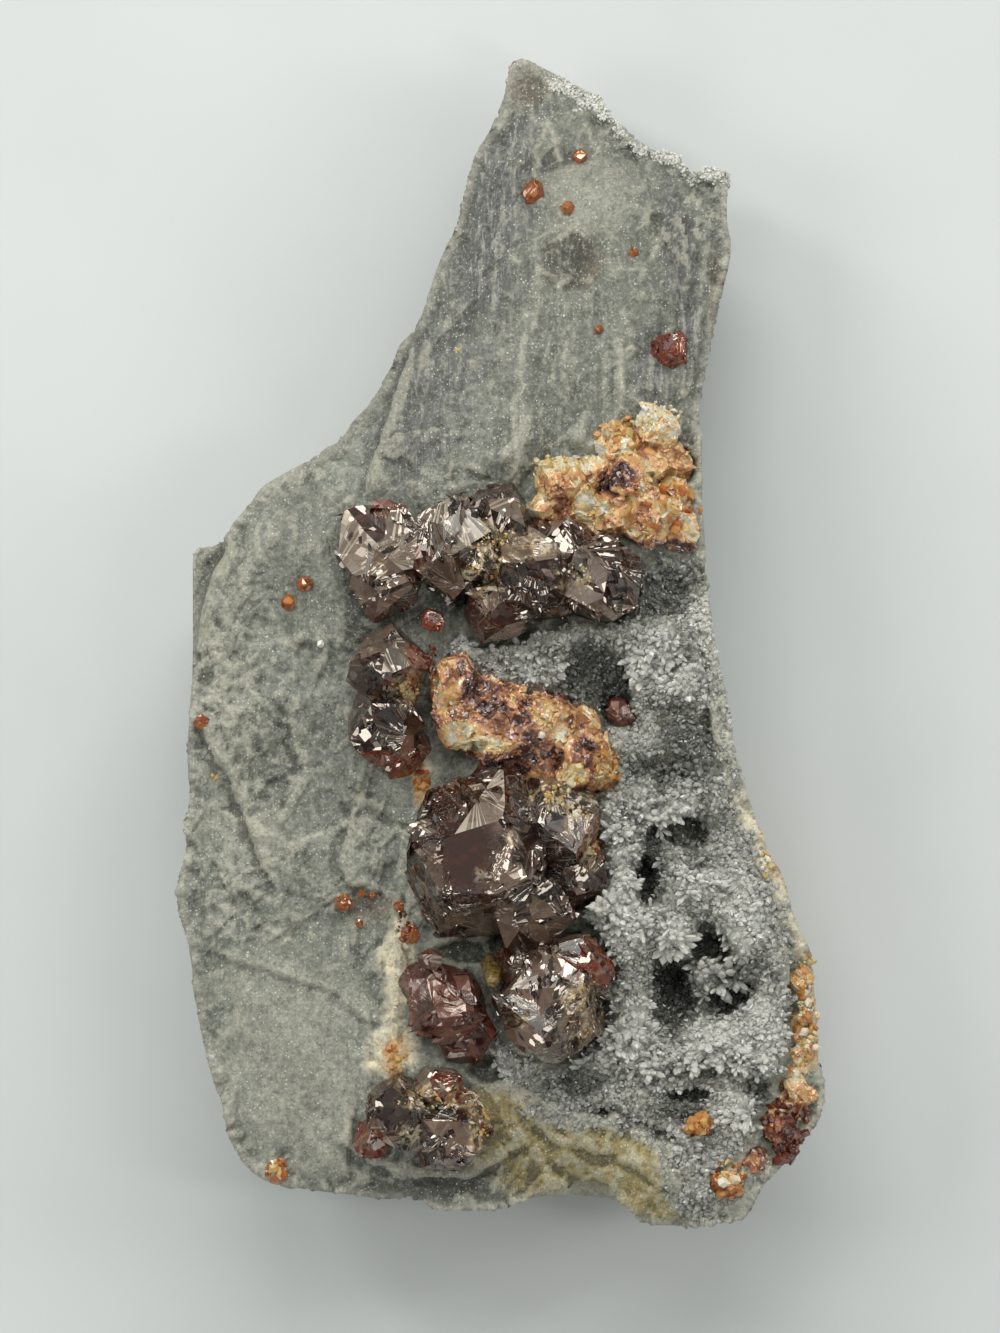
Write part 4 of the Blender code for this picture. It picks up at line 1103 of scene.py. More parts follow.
def paint_facets(piece, seed):
    """Paints a chance and a fan of angles on every flat; returns the flats' middles and sizes."""
    mesh = piece.data
    normals, centres = read_all(mesh.polygons, "normal"), read_all(mesh.polygons, "center") / MM
    corners = (read_all(mesh.vertices, "co") / MM)[read_all(mesh.loops, "vertex_index", 1, int)]
    owner = np.repeat(np.arange(len(centres)), read_all(mesh.polygons, "loop_total", 1, int))
    offset = (normals * centres).sum(axis=1)
    flats = np.rint(np.column_stack([normals * 60, offset[:, None] * 12])).astype(np.int64)
    _, group = np.unique(flats, axis=0, return_inverse=True)
    group = group.ravel()
    size = np.bincount(group)
    middle = np.stack([np.bincount(group, centres[:, axis]) / size for axis in range(3)], axis=1)
    chance = hashed(np.column_stack([group, group * 0 + seed, group * 0]), 3)
    helper = np.where(np.abs(normals[:, 2:]) < 0.9, (0.0, 0.0, 1.0), (1.0, 0.0, 0.0))
    side = np.cross(normals, helper)
    side /= np.maximum(np.linalg.norm(side, axis=1), 1e-9)[:, None]
    over = np.cross(normals, side)
    angle = (chance * FLAT_TURNS)[:, None]
    ahead = side * np.cos(angle) + over * np.sin(angle)
    beside = np.cross(normals, ahead)
    hub = middle[group] - ahead * (1.2 + 5 * hashed(np.column_stack([group] * 3), 8))[:, None]
    away = corners - hub[owner]
    lines = np.arctan2((away * beside[owner]).sum(axis=1), (away * ahead[owner]).sum(axis=1))
    paint(piece, "facet", chance, "FACE")
    paint(piece, "stria", lines, "CORNER")
    return middle[group], size[group]


print("steps of growth stand", STEPPED.proud, "mm proud")


# %% [markdown]
# ## Heights to stand on
# A crystal's middle is given by how far it stands above the rock. The rock's plain height at that
# place comes from the filled grid, so crystals follow the slab as it thins towards its tip.

# %% Standing height
bare_face = filled(solid_rock, known & ~in_druse, 4.0)


def nearest_cell(x, y):
    """The row and the column of the grid's point nearest to a place."""
    return int(round((y - GRID_Y[0]) / GRID)), int(round((x - GRID_X[0]) / GRID))


def bed_at(x, y):
    """The plain height of the rock's face at a place."""
    return float(bare_face[nearest_cell(x, y)])


print("the bed under the large garnet is at", round(bed_at(-2.6, -22.6), 1), "mm")


# %% [markdown]
# ## Garnet finishes
# Dark garnet is nearly black inside, so most of what shows is its gloss: each facet mirrors a
# different part of the studio. Its refractive index is high, which makes those mirrors strong.
# Fine parallel striations cross many facets. Light gets through thin edges and small grains, and
# there the garnet is red or amber; here that glow is painted into the colour near the rock. A
# paler painted sheen lies on some facets, striations and patches.

# %% Finish of the garnets
def garnet_finish(name, deep, shallow, sheen, roughness, glow_share, coat, clear=0.0):
    """Garnet: a deep body colour, a shallow one at thin places as painted glow, and a paler painted sheen.
    """
    f = new_finish(name)
    facet = f.painted("facet")
    broken = f.painted("broken")
    body = f.mix(facet.between(0.25, 0.95) * glow_share, deep, shallow)
    cloud = f.noise(0.8, 4.0, 0.6)
    body = f.mix(cloud.between(0.5, 0.72) * 0.45, body, shallow)
    ruddy = f.painted("ruddy")
    body = f.mix(ruddy * (0.35 + cloud.between(0.4, 0.6) * 0.6), body, rgb(0.15, 0.02, 0.006))
    # painted glow: near the rock the body is painted the shallow red of light coming through
    body = f.mix(f.painted("thin") * 0.9, body, shallow)
    # painted sheen: pale patches and some whole facets are painted in the sheen colour
    sheen_haze = f.noise(1.7, 5.0, 0.7).between(0.56, 0.72) * (0.2 + broken * 0.8)
    body = f.mix(facet.between(0.8, 0.84) * broken * 0.3 + sheen_haze * 0.1, body, sheen)
    wedge, fan = f.wedges(f.painted("stria"), 7.0)
    fine_wedge, fine_fan = f.wedges(f.painted("stria"), 26.0)
    plate = f.chance(0.42)
    fanned = plate.between(0.42, 0.48) * broken
    bright = (wedge * 0.6 + fine_wedge * 0.4).between(0.4, 0.52)
    gleam = f.painted("gleam") * (0.25 + bright * 0.75)
    body = f.mix(gleam * 0.8, body, rgb(0.54, 0.47, 0.37))
    # painted sheen: striations on the fanned plates are painted in the sheen colour
    sheen_striations = (wedge * 0.4 + fine_wedge * 0.6).between(0.6, 0.7) * fanned
    body = f.mix(sheen_striations * coat * 0.85, body, sheen)
    leaning = f.plates(0.42) * (broken * 0.95) + f.plates(1.3) * (broken * 0.24)
    leaning = leaning + (fan * 1.5 + fine_fan * 1.1) * (fanned + f.painted("gleam") * 0.5)
    dusted = f.noise(1.5, 5.0, 0.75).between(0.44, 0.6) + f.seams(0.42, 0.1) * 0.8
    dust = f.painted("dust") * dusted.between(0.0, 1.0)
    dusty = f.mix(f.noise(0.9, 3.0).between(0.4, 0.6), rgb(0.44, 0.29, 0.12), rgb(0.68, 0.6, 0.42))
    body = f.mix(dust * 0.85, body, dusty)
    rough = roughness + gleam * 0.12 + sheen_haze * 0.05 + dust * 0.35
    return complete(f, {"Base Color": body, "Roughness": rough, "Normal": f.bump(leaning, 1.0), "IOR": 2.1,
                        "Specular Tint": rgb(1.0, 0.90, 0.80), "Transmission Weight": clear,
                        "Coat Weight": (1 - dust) * coat, "Coat Roughness": 0.02, "Coat IOR": 1.6})


DARK_GARNET = garnet_finish(
    "dark_garnet_gloss", rgb(0.01, 0.006, 0.0054), rgb(0.11, 0.024, 0.011), rgb(0.38, 0.28, 0.2),
    roughness=0.05, glow_share=0.2, coat=0.35)
WINE_GARNET = garnet_finish(
    "wine_garnet_gloss", rgb(0.044, 0.011, 0.009), rgb(0.15, 0.026, 0.014), rgb(0.22, 0.095, 0.065),
    roughness=0.24, glow_share=0.4, coat=0.06)
RED_GARNET = garnet_finish(
    "red_garnet_gloss", rgb(0.1, 0.008, 0.003), rgb(0.36, 0.04, 0.01), rgb(0.5, 0.16, 0.06),
    roughness=0.06, glow_share=0.6, coat=0.2, clear=0.35)
ORANGE_GARNET = garnet_finish(
    "orange_garnet_gloss", rgb(0.34, 0.07, 0.008), rgb(0.74, 0.23, 0.03), rgb(0.8, 0.42, 0.14),
    roughness=0.08, glow_share=0.8, coat=0.15, clear=0.35)
print("garnet finishes:", [m.name for m in (DARK_GARNET, WINE_GARNET, RED_GARNET, ORANGE_GARNET)])

# %% [markdown]
# ## The garnet crystals' places
# Each row has the place of one crystal's middle, how far that stands above the rock, the
# distance from middle to face, what it turns to the front, and its turns in degrees: how far it
# is twisted, which way it leans and how far. They are the crystals of the solids. Groups whose
# crystals grew into each other make one body.

# %% Table of crystals
GARNET_CLUSTERS = {
    "garnet_large": crystal_table(
        (-2.4, -22.8, 0.9, 8.2, "face", 24, 195, 7), (5.6, -19.4, 1.4, 5.1, "face", 60, 30, 22),
        (3.2, -27.6, 0.8, 4.7, "corner", 10, 300, 20), (7.6, -24.6, 0.2, 3.7, "face", 15, 330, 30),
        (-0.5, -16.2, 0.6, 3.7, "corner", 65, 90, 18),
    ),
    "garnet_upper_left": crystal_table(
        (-12.6, 9.6, 2, 4.9, "corner", 30, 90, 4), (-12.2, 5.6, 0.4, 3.9, "corner", 30, 270, 6),
    ),
    "garnet_upper_group": crystal_table(
        (-4.6, 9.4, 1.8, 5.3, "corner", 100, 150, 10), (-0.2, 12.2, 1.2, 3.9, "face", 20, 60, 14),
        (3.2, 7, 1, 5.3, "face", 75, 240, 12), (10.2, 6.2, 1.2, 4.7, "corner", 40, 20, 16),
        (6.8, 9.2, 0.6, 3.8, "face", 130, 80, 20), (-0.4, 3.4, -0.6, 3.8, "corner", 20, 250, 22),
    ),
    "garnet_middle_left": crystal_table(
        (-11.8, -3, 1.4, 4.2, "face", 35, 110, 14), (-12.1, -9, 1.2, 4.1, "face", 80, 210, 8),
        (-10.6, -11.4, 0.2, 3.1, "corner", 15, 300, 18),
    ),
    "garnet_lower_right": crystal_table(
        (5.4, -38.4, 1.8, 5.9, "corner", 55, 230, 14), (7.6, -35.2, 0.8, 4.3, "face", 20, 60, 20),
        (2.2, -35, -0.4, 3.1, "corner", 20, 120, 12),
    ),
    "garnet_lower_left": crystal_table(
        (-5.6, -38.6, 0.8, 4.3, "corner", 5, 180, 8), (-7.6, -36.6, 0.2, 2.8, "face", 40, 150, 18),
        (-3.8, -41.6, -0.2, 3.1, "face", 10, 260, 16), (-7.3, -33.9, 1.4, 1.4, "corner", 50, 140, 10),
    ),
    "garnet_bottom_group": crystal_table(
        (-10.2, -49.8, 1, 3.9, "face", 50, 120, 12), (-5.2, -51.8, 1.2, 4.1, "face", 15, 250, 10),
        (-13.1, -52.6, 0.2, 2.4, "corner", 80, 200, 14), (-6.6, -47.2, 1.2, 2.7, "face", 70, 60, 16),
    ),
    "garnet_middle_mass": crystal_table(
        (-4.8, -4.6, 1.4, 3, "face", 20, 110, 18), (-4.2, -8.4, 0.8, 3.2, "corner", 70, 210, 14),
        (0.6, -9.4, 1.2, 4.1, "face", 40, 190, 10), (5, -9, 0.8, 3.4, "corner", 10, 60, 16),
        (8.2, -12.8, 0.8, 3.8, "face", 95, 20, 16), (4, -13, 0.4, 3.2, "corner", 50, 280, 16),
    ),
    "orange_garnet_mass": crystal_table(
        (6.3, 16.6, 0.2, 2.7, "face", 15, 120, 16), (5.4, 13.6, -0.4, 2.5, "corner", 60, 220, 20),
        (8.8, 14.2, -0.2, 2.4, "face", 70, 330, 18), (13.6, 17, 0.4, 3.1, "face", 50, 200, 20),
        (16.2, 21.8, -0.2, 2.7, "corner", 10, 60, 18), (18.2, 18.4, -0.6, 2.2, "face", 35, 30, 20),
        (12, 13.4, 0.2, 2.7, "face", 85, 240, 16), (15.8, 13.2, 0.4, 3.3, "corner", 40, 300, 16),
        (18.4, 11.6, -0.4, 2.4, "corner", 75, 330, 20),
    ),
    "edge_garnet_vein": crystal_table(
        (31.5, -36, -1.4, 1.9, "corner", 20, 20, 20), (31.9, -39.8, -1.6, 2.1, "face", 60, 10, 25),
        (31.8, -43.8, -1.5, 2.2, "corner", 75, 20, 20), (31.1, -47.8, -1.2, 2.4, "face", 30, 350, 25),
        (29, -51.4, -1, 2.4, "corner", 45, 330, 20), (26.7, -55, -1.3, 2.2, "face", 10, 320, 20),
    ),
}
Scattered = namedtuple("Scattered", "name x y rise size")
SCATTERED_GARNETS = tuple(Scattered("small_garnet_" + name, *rest) for name, *rest in (
    ("tip_large", 3.6, 47.1, -0.5, 1.45), ("tip_upper", 8.4, 51, 0.1, 0.78),
    ("tip_lower", 7.1, 45.4, 0.1, 0.78), ("tip_right", 14, 40.7, 0, 0.5),
    ("speck", 10.4, 32.6, 0, 0.45), ("right", 17.9, 30.2, -0.2, 2.05),
    ("left_upper", -20.6, 5.8, 0.2, 0.82), ("left_lower", -22.3, 3.8, 0.2, 0.82),
    ("left_edge", -31.4, -8.7, -0.2, 0.85), ("between", -7.1, 1.9, 0.6, 1.25),
    ("in_druse", 12.6, -7.8, -1.2, 1.7), ("low_one", -16.4, -27.7, 0.2, 0.9),
    ("low_two", -14.6, -26.8, 0.1, 0.42), ("low_three", -13.5, -27, 0.1, 0.36),
    ("low_four", -14.8, -29.9, 0.1, 0.4), ("low_five", -10.7, -28.1, 0.2, 0.6),
    ("seam", -9.5, -31, 0.2, 1), ("bottom_left", -23.6, -56, -0.4, 1.3),
    ("bottom_right", 23.6, -57.2, 0.2, 1.5), ("bottom_druse", 20.9, -51.2, 0, 1.2),
))
SEAT_DEPTH = 2.4
print("crystals in groups:", sum(len(group) for group in GARNET_CLUSTERS.values()))


# %% [markdown]
# ## Making the garnets
# The groups are joined with Blender's Manifold solver, which takes hundreds of small crystals in
# a second because each is a closed body.

# %% Garnet groups
CALM_TOPS = ("garnet_large 0",)


def crystal_parts(name, crystals, growth):
    """The meshes and transforms that make up a group, with its growths."""
    parts = []
    seat = min(bed_at(crystal.x, crystal.y) for crystal in crystals) - SEAT_DEPTH
    for number, crystal in enumerate(crystals):
        seed = f"{name} {number}"
        rng = random.Random(seed + " growth")
        place = Vector((crystal.x, crystal.y, bed_at(crystal.x, crystal.y) + crystal.rise))
        turn = crystal_turn(crystal)
        calm_face = max(RHOMBIC_FACES, key=lambda n: (turn @ n).z) if seed in CALM_TOPS else None
        main = main_crystal(crystal.size, seed, calm_face)
        grown = growth_on(main, crystal.size, turn, place, growth, calm_face, rng)
        main.transform(Matrix.Translation(place) @ turn)
        bm = bmesh.new()
        bm.from_mesh(main)
        clipped(bm, Vector((0, 0, -1)), -seat)
        bm.to_mesh(main)
        bm.free()
        parts.append((main, Matrix()))
        parts += [(SMALL_CRYSTAL, transform) for transform in grown]
    return parts


def finish_piece(piece, node, material, slot):
    piece.data.materials.clear()
    piece.data.materials.append(material)
    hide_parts(node)
    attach(piece, "root")


# %% [markdown]
# ### Dust, gleams and red places
# Cream dust lies on some of the dark crystals. A few facets catch the light and shine pale, and
# in some places the garnet is red-brown. Each is a number kept on the points or the faces, and
# whole flats gleam or turn red together, as they do on a broken crystal.

# %% Dusted groups
DUST_SPOTS = spot_table(
    (-1.6, 8, 2.6, 3.4), (-0.4, 10.6, 2.2, 1.6), (3, 9.6, 4, 1), (7.6, 6.6, 2.2, 2),
    (-12, 8.4, 1.2, 3, -20), (-9.6, -5.4, 2.2, 2), (5.6, -16.4, 2.2, 1.8), (8.8, -18.6, 2.2, 2.4),
    (1.2, -20.6, 0.7, 1.8), (-2.2, -24.8, 0.8, 0.9), (9.6, -22, 1.4, 2.4), (8.6, -38.6, 2.6, 4.2),
    (2, -39.6, 1.2, 1.2), (-7.4, -48.2, 4.6, 1.4), (-2.3, -51, 1.6, 2.6), (-9.6, -52, 1.4, 1.8),
)
CALM_SPOTS = spot_table((-3.6, -22.4, 3.6, 5.6))  # the great garnet's smooth face
dust_field = spots_field(DUST_SPOTS, 171, 0.8)
calm_field = spots_field(CALM_SPOTS, 177, 0.15)
RUDDY_SPOTS = spot_table(  # where the garnet is red-brown
    (-5.4, -46.6, 2.5, 2.2), (-13.4, -53.4, 2.2, 1.8), (-9, -3.6, 1.2, 3.2), (-11.8, -13.2, 3.4, 1.6),
    (9.5, -34, 2, 1.8), (-12.5, 13.8, 4, 0.8), (-9.4, 7.2, 0.9, 2), (9.6, -20, 1.8, 4),
)
GLEAM_SPOTS = spot_table(  # where bright facets catch the light
    (-10.6, -1.8, 1.6, 1.7), (-1.6, -16.6, 2, 1.9), (-16.6, 11, 0.9, 2.2), (-10.6, 9.8, 1.8, 3.2),
    (-14.4, 9.4, 1.6, 1.8), (-3, 11.8, 1.3, 2.2), (-5.6, 12.6, 2.2, 1.6), (0.8, 13.6, 1.8, 1.2),
    (-7.6, -19, 1, 2), (1.8, -39.4, 1.1, 0.6), (4.4, -43, 1.6, 0.6, 20), (-7.3, -34, 0.8, 0.8),
    (-4.8, -5.1, 1.8, 2), (-11.6, -10.8, 1.4, 0.9), (11, 7.4, 0.9, 0.8), (-2.6, -48.6, 1, 0.9),
    (-13.2, -51.8, 1, 0.7),
)
ruddy_field = spots_field(RUDDY_SPOTS, 201, 0.5)
gleam_field = spots_field(GLEAM_SPOTS, 211, 0.5)


def read_grid(field, points):
    """A field of the grid at some points."""
    column = np.clip(np.rint((points[:, 0] - GRID_X[0]) / GRID).astype(int), 0, COLUMNS - 1)
    row = np.clip(np.rint((points[:, 1] - GRID_Y[0]) / GRID).astype(int), 0, ROWS - 1)
    return field[row, column]


SMALL_FLAT = 16.0  # triangles; smaller flats rarely gleam


def paint_thin(piece, reach, flats):
    """Marks the low places of a piece, where light comes through, the dust, and some whole flats."""
    points = read_all(piece.data.vertices, "co") / MM
    above = points[:, 2] - read_grid(bare_face, points)
    patch = ramp(fractal(points / 2.6, 3, 91), -0.2, 0.7)
    paint(piece, "thin", ramp(above, reach, 0.0) * patch)
    speckled = ramp(fractal(points / 1.3, 3, 97), -0.5, 0.6)
    paint(piece, "dust", read_grid(dust_field, points) * speckled)
    paint(piece, "broken", 1 - read_grid(calm_field, points))
    middles, sizes = flats
    chance = hashed(np.rint(middles * 9).astype(np.int64), 12)
    paint(piece, "ruddy", 1.0 * (read_grid(ruddy_field, middles) > 0.15 + 0.6 * chance), "FACE")
    large = ramp(sizes, 4.0, SMALL_FLAT)
    paint(piece, "gleam", 1.0 * (read_grid(gleam_field, middles) * large > 0.15 + 0.5 * chance), "FACE")


GROUP_EDGE = 0.55  # the longest edge of the groups' triangles
THIN_REACH = 4.0  # how far up from the rock light comes through a group
DARK_GROUPS = ("large", "upper_left", "upper_group", "middle_left", "lower_right")
DUSTED_GROUPS = {"garnet_" + place: (DARK_GARNET, "dark_garnet") for place in DARK_GROUPS}
DUSTED_GROUPS["garnet_lower_left"] = (WINE_GARNET, "red_garnet")
DUSTED_GROUPS["garnet_bottom_group"] = (DARK_GARNET, "red_garnet")
for name, (material, slot) in DUSTED_GROUPS.items():
    growth = CLEAN if name in CLEAN_GROUPS else STEPPED
    group = joined("crystals_" + name, crystal_parts(name, GARNET_CLUSTERS[name], growth))
    refine(group.data, GROUP_EDGE)
    paint_thin(group, THIN_REACH, paint_facets(group, 5))
    finish_piece(group, name, material, slot)
    print(name, "has", len(group.data.polygons), "triangles")

# %% [markdown]
# ### Crumbled masses
# The middle mass, the orange mass and the vein along the edge aren't clean crystals but grains
# packed together, each with its own colour. Their surface is split finely and broken into small
# flats, and every grain gets a tone, from 0 for red-brown to 1 for white. The tone depends on
# where the grain lies, with some chance: each mass has a tone of its own and rows of places
# with another, given as a middle, two half widths and the tone.

# %% Crumbled groups
Mass = namedtuple("Mass", "grain height shrink tone chance slot spots")
CRUMBLED_GROUPS = {
    "orange_garnet_mass": Mass(1.7, 0.30, 1.0, 0.52, 0.24, "orange_garnet", (
        (5.5, 18.4, 3.6, 1.3, 0.76), (3, 15, 1.1, 2.8, 0.72), (5.6, 14.8, 2, 2, 0.46),
        (13, 21.4, 3.6, 2.4, 0.62), (16.6, 23.2, 2.8, 2.2, 0.82), (8.8, 19.8, 1.6, 1.2, 0.84),
        (12, 16.6, 2.2, 2.2, 0.2), (17.4, 16.8, 3, 2, 0.5), (20.8, 13.6, 1.1, 4.2, 0.62),
        (16.6, 9.4, 4.2, 0.9, 0.14), (9.4, 13.6, 1.6, 2.2, 0.66),
    )),
    "garnet_middle_mass": Mass(1.7, 0.30, 1.0, 0.27, 0.22, "dark_garnet", (
        (-3.4, -4.4, 2.6, 2.4, 0.12), (-5.4, -5, 1.6, 2.2, 0.58), (-4.4, -10, 2.4, 1.8, 0.66),
        (0.8, -7.4, 2.4, 2, 0.16), (4.6, -7.8, 1.3, 2.6, 0.44), (6.6, -9.8, 1.2, 2.2, 0.7),
        (8.6, -8.6, 1.6, 1.8, 0.46), (-1.2, -11.2, 2.8, 0.9, 0.76), (7.4, -14.4, 1.8, 1.2, 0.72),
        (11.2, -13.8, 1.6, 3, 0.6), (2.4, -12.6, 2.6, 1.4, 0.1),
    )),
    "edge_garnet_vein": Mass(1.4, 0.40, 0.78, 0.56, 0.16, "orange_garnet", (
        (31.6, -40, 2.4, 5.6, 0.64), (28.6, -53.4, 5, 4.4, 0.12),
    )),
}


def crumbled_finish():
    """Grains of garnet and calcite: the ramp runs from red-brown through orange to white."""
    f = new_finish("crumbled_garnet")
    seams = f.seams(0.62, 0.16) * f.noise(0.9, 4.0, 0.7).between(0.5, 0.58)
    plate = (f.chance(0.55) - 0.5) * 0.3 + (f.chance(1.5) - 0.5) * 0.24
    tone = f.painted("tone") + (f.noise(1.6, 4.0, 0.7) - 0.5) * 0.3 + seams * 0.3 + plate
    stops = ((0.0, rgb(0.08, 0.03, 0.024)), (0.18, rgb(0.22, 0.1, 0.076)),
             (0.34, rgb(0.58, 0.25, 0.13)), (0.48, rgb(0.86, 0.43, 0.19)),
             (0.62, rgb(0.9, 0.56, 0.2)), (0.8, rgb(0.88, 0.75, 0.42)), (1.0, rgb(0.88, 0.86, 0.76)))
    colour = f.node("ValToRGB", {"stops": stops}, {0: tone})
    leaning = f.plates(0.55) * 1.5 + f.plates(1.5) * 0.6
    return complete(f, {"Base Color": colour, "Roughness": 0.15 + tone * 0.18, "IOR": 1.8,
                        "Normal": f.bump(leaning, 1.0), "Transmission Weight": 0.25,
                        "Coat Weight": 0.4, "Coat Roughness": 0.03})


def tones_at(centres, mass, chance):
    """The tone of each grain: that of its place, and some chance."""
    ragged = 0.35 * fractal(centres / 1.8, 3, 181)
    tone = np.full(len(centres), mass.tone)
    for x, y, wide, tall, tone_there in mass.spots:
        away = np.hypot((centres[:, 0] - x) / wide, (centres[:, 1] - y) / tall)
        share = ramp(away + ragged, 1.2, 0.7)
        tone = tone * (1 - share) + tone_there * share
    return np.clip(tone + (chance - 0.5) * 2 * mass.chance, 0, 1)


CRUMB_EDGE = 0.34  # the longest edge of the masses' triangles
CRUMBLED = crumbled_finish()
ROUGH_GROWTH = Growth(0.34, (0.14, 0.44), (0.08, 0.42), 30, 16)
FILLERS = {  # between the crystals of the solids, so that a mass closes up
    "orange_garnet_mass": crystal_table(
        (12.2, 20.4, -0.5, 2.5, "face", 25, 80, 14), (9.6, 17.2, -0.9, 2.4, "corner", 45, 190, 12),
        (15.6, 18.4, -0.3, 2.5, "face", 60, 300, 14), (9.6, 11.6, -0.9, 1.9, "face", 15, 250, 14),
        (18, 15, -0.5, 2.3, "corner", 70, 10, 12),
    ),
    "garnet_middle_mass": crystal_table(
        (-2, -6.6, 0.3, 2.8, "corner", 15, 150, 12), (-1.4, -11, 0.2, 2.2, "face", 55, 220, 14),
        (8.2, -9.4, 0, 2.4, "face", 30, 30, 14),
    ),
    "edge_garnet_vein": crystal_table(
        (31.9, -38, -1.6, 1.9, "face", 10, 20, 14), (31.8, -41.8, -1.6, 1.9, "corner", 30, 20, 14),
        (31.4, -45.8, -1.5, 2, "face", 50, 0, 14), (30.2, -49.8, -1.2, 2.1, "corner", 65, 340, 14),
    ),
}
for name, mass in CRUMBLED_GROUPS.items():
    rows = [row._replace(size=row.size * mass.shrink) for row in GARNET_CLUSTERS[name] + FILLERS[name]]
    group = joined("crystals_" + name, crystal_parts(name, rows, ROUGH_GROWTH))
    refine(group.data, CRUMB_EDGE)
    centres, chance = crumble(group, mass.grain, mass.height, 61)
    paint(group, "tone", tones_at(centres, mass, chance), "FACE")
    finish_piece(group, name, CRUMBLED, mass.slot)
    print(name, "has", len(group.data.polygons), "triangles")

# %% [markdown]
# ### Single crystals
# The strays on the rock are small orange-red crystals, each with a few smaller ones on it.

# %% Scattered garnets
FRONT_ORDER = ("corner", "face", "peak")
DARKER = {"small_garnet_right": RED_GARNET, "small_garnet_between": RED_GARNET,
          "small_garnet_in_druse": WINE_GARNET}
STRAY = Growth(1.0, (0.14, 0.36), (0.1, 0.3), 20, 10)
STRAY_EDGE = 0.5
STRAY_REACH = 1.5
for number, stray in enumerate(SCATTERED_GARNETS):
    crystal = Crystal(stray.x, stray.y, stray.rise, stray.size, FRONT_ORDER[number % 3],
                      47 * number % 90, 113 * number % 360, 12)
    single = joined("crystals_" + stray.name, crystal_parts(stray.name, (crystal,), STRAY))
    refine(single.data, STRAY_EDGE)
    paint_thin(single, STRAY_REACH, paint_facets(single, number))
    finish_piece(single, stray.name, DARKER.get(stray.name, ORANGE_GARNET),
                 "red_garnet" if stray.name in DARKER else "orange_garnet")
print("made", len(SCATTERED_GARNETS), "single crystals")


# %% [markdown]
# ## The quartz druse
# Beside the garnets a hollow is lined with quartz: a sugary crust, and on it thousands of tiny
# clear points that radiate in tufts. The crust is one closed shell over the grid. Each point is a
# six-sided prism with a six-sided pyramid, and all of them share one mesh.

# %% Crust under the points
HOLLOWS = spot_table(
    (10.4, -4.8, 4, 4.4), (16.8, 4.8, 3.8, 3.2), (15.8, -24, 1, 5, -4), (18, -37.5, 2, 4),
    (22, -32.8, 2, 1.5), (24.4, -37.8, 2.8, 1.2, 12), (27.6, -47.7, 1.6, 1.1), (8, -29.8, 1.1, 1),
    (19.2, -20.5, 2.4, 1.6), (22.5, -8.5, 1.6, 3), (20, -48, 2.2, 0.9),
)
ROSETTES = spot_table(  # where the points are long and white
    (16, -3, 3.4, 2.8), (12.3, -27, 3, 5.2, 8), (18.4, -32, 2.2, 1.6), (14.2, -42.5, 2.8, 2.8),
    (20.8, -43.2, 3.2, 1.5, 8), (25.8, -49.6, 2, 1.6), (21.2, -25.3, 1.9, 1.7), (23.4, -35.4, 2, 1.4),
    (11.5, -20, 2, 2.4), (25, -44, 2.6, 1.6),
)
DULL_SPOTS = spot_table(  # where the quartz is dark and glassy
    (17.6, 5.6, 4.6, 3.6), (9.4, -5, 4.4, 5), (16, -23, 1.8, 6, -4), (18.6, -38, 2.6, 5),
    (24.4, -35.6, 3.4, 3.2), (19.4, -11, 2.6, 4.6, 20), (15, -13.6, 3.4, 1.6), (20.8, -22.4, 1.6, 3),
    (27, -47.6, 2.2, 1.6), (19, -49.4, 3, 1.4), (8, -46.6, 4, 1.6),
)
WHITE_SPOTS = spot_table(  # where it is pale and milky
    (16.4, -2.8, 3.6, 2.6), (12.4, -26.6, 2.8, 5.4, 8), (13.2, -40.6, 2.4, 4.6),
    (21.6, -43, 4.4, 1.9, 8), (18.6, -31, 2.2, 2.4), (21, -26.4, 2.6, 1.8), (18.2, -18, 2.4, 1.8),
    (27, -42, 2.2, 4), (24, -51, 2.8, 2.2), (24.6, -28, 2, 5, 8), (21.4, 1, 1.2, 4, 8),
)
hollow_field = spots_field(HOLLOWS, 191, 0.32)
pallor = blurred(spots_field(WHITE_SPOTS, 231, 0.7) - spots_field(DULL_SPOTS, 241, 0.6), 0.4)
rosette_field = spots_field(ROSETTES, 141, 0.7)


def crust_shell():
    """A closed shell over the druse: its top has cushions, and its rim dips into the rock."""
    inside = blurred(in_druse, 0.3) > 0.5
    level = filled(solid_crust, in_druse, 0.5)
    cushions = clouds(2.4, 2.4, 3, 131)
    knobs = over_grid(chips(grid_points(0.8, 0.8), 137, flat=True))
    inward = ramp(blurred(inside, 1.0), 0.45, 0.95)
    top = level + (0.55 * cushions + 0.3 * knobs) * inward - 0.9 * (1 - inward)
    top -= 1.9 * hollow_field * inward
    top += 0.6 * rosette_field * inward
    floor = np.minimum(face, top) - 0.8
    numbers, squares = numbered_squares(kept_squares(inside))
    upper = np.column_stack([FLAT_PLACES[numbers], top.ravel()[numbers]])
    lower = np.column_stack([FLAT_PLACES[numbers], floor.ravel()[numbers]])
    count = len(upper)
    faces = [tuple(square) for square in squares.tolist()]
    faces += [tuple(count + corner for corner in reversed(square)) for square in squares.tolist()]
    for loop in border_loops(squares):
        for here, after in zip(loop, loop[1:] + loop[:1]):
            faces.append((after, here, count + here, count + after))
    return top, inside, numbers, np.concatenate([upper, lower]), faces


crust_top, crust_inside, crust_used, crust_points, crust_faces = crust_shell()
crust = add_mesh("quartz_crust", crust_points, crust_faces)
crust.data.shade_smooth()
print("the crust has", len(crust.data.polygons), "faces")
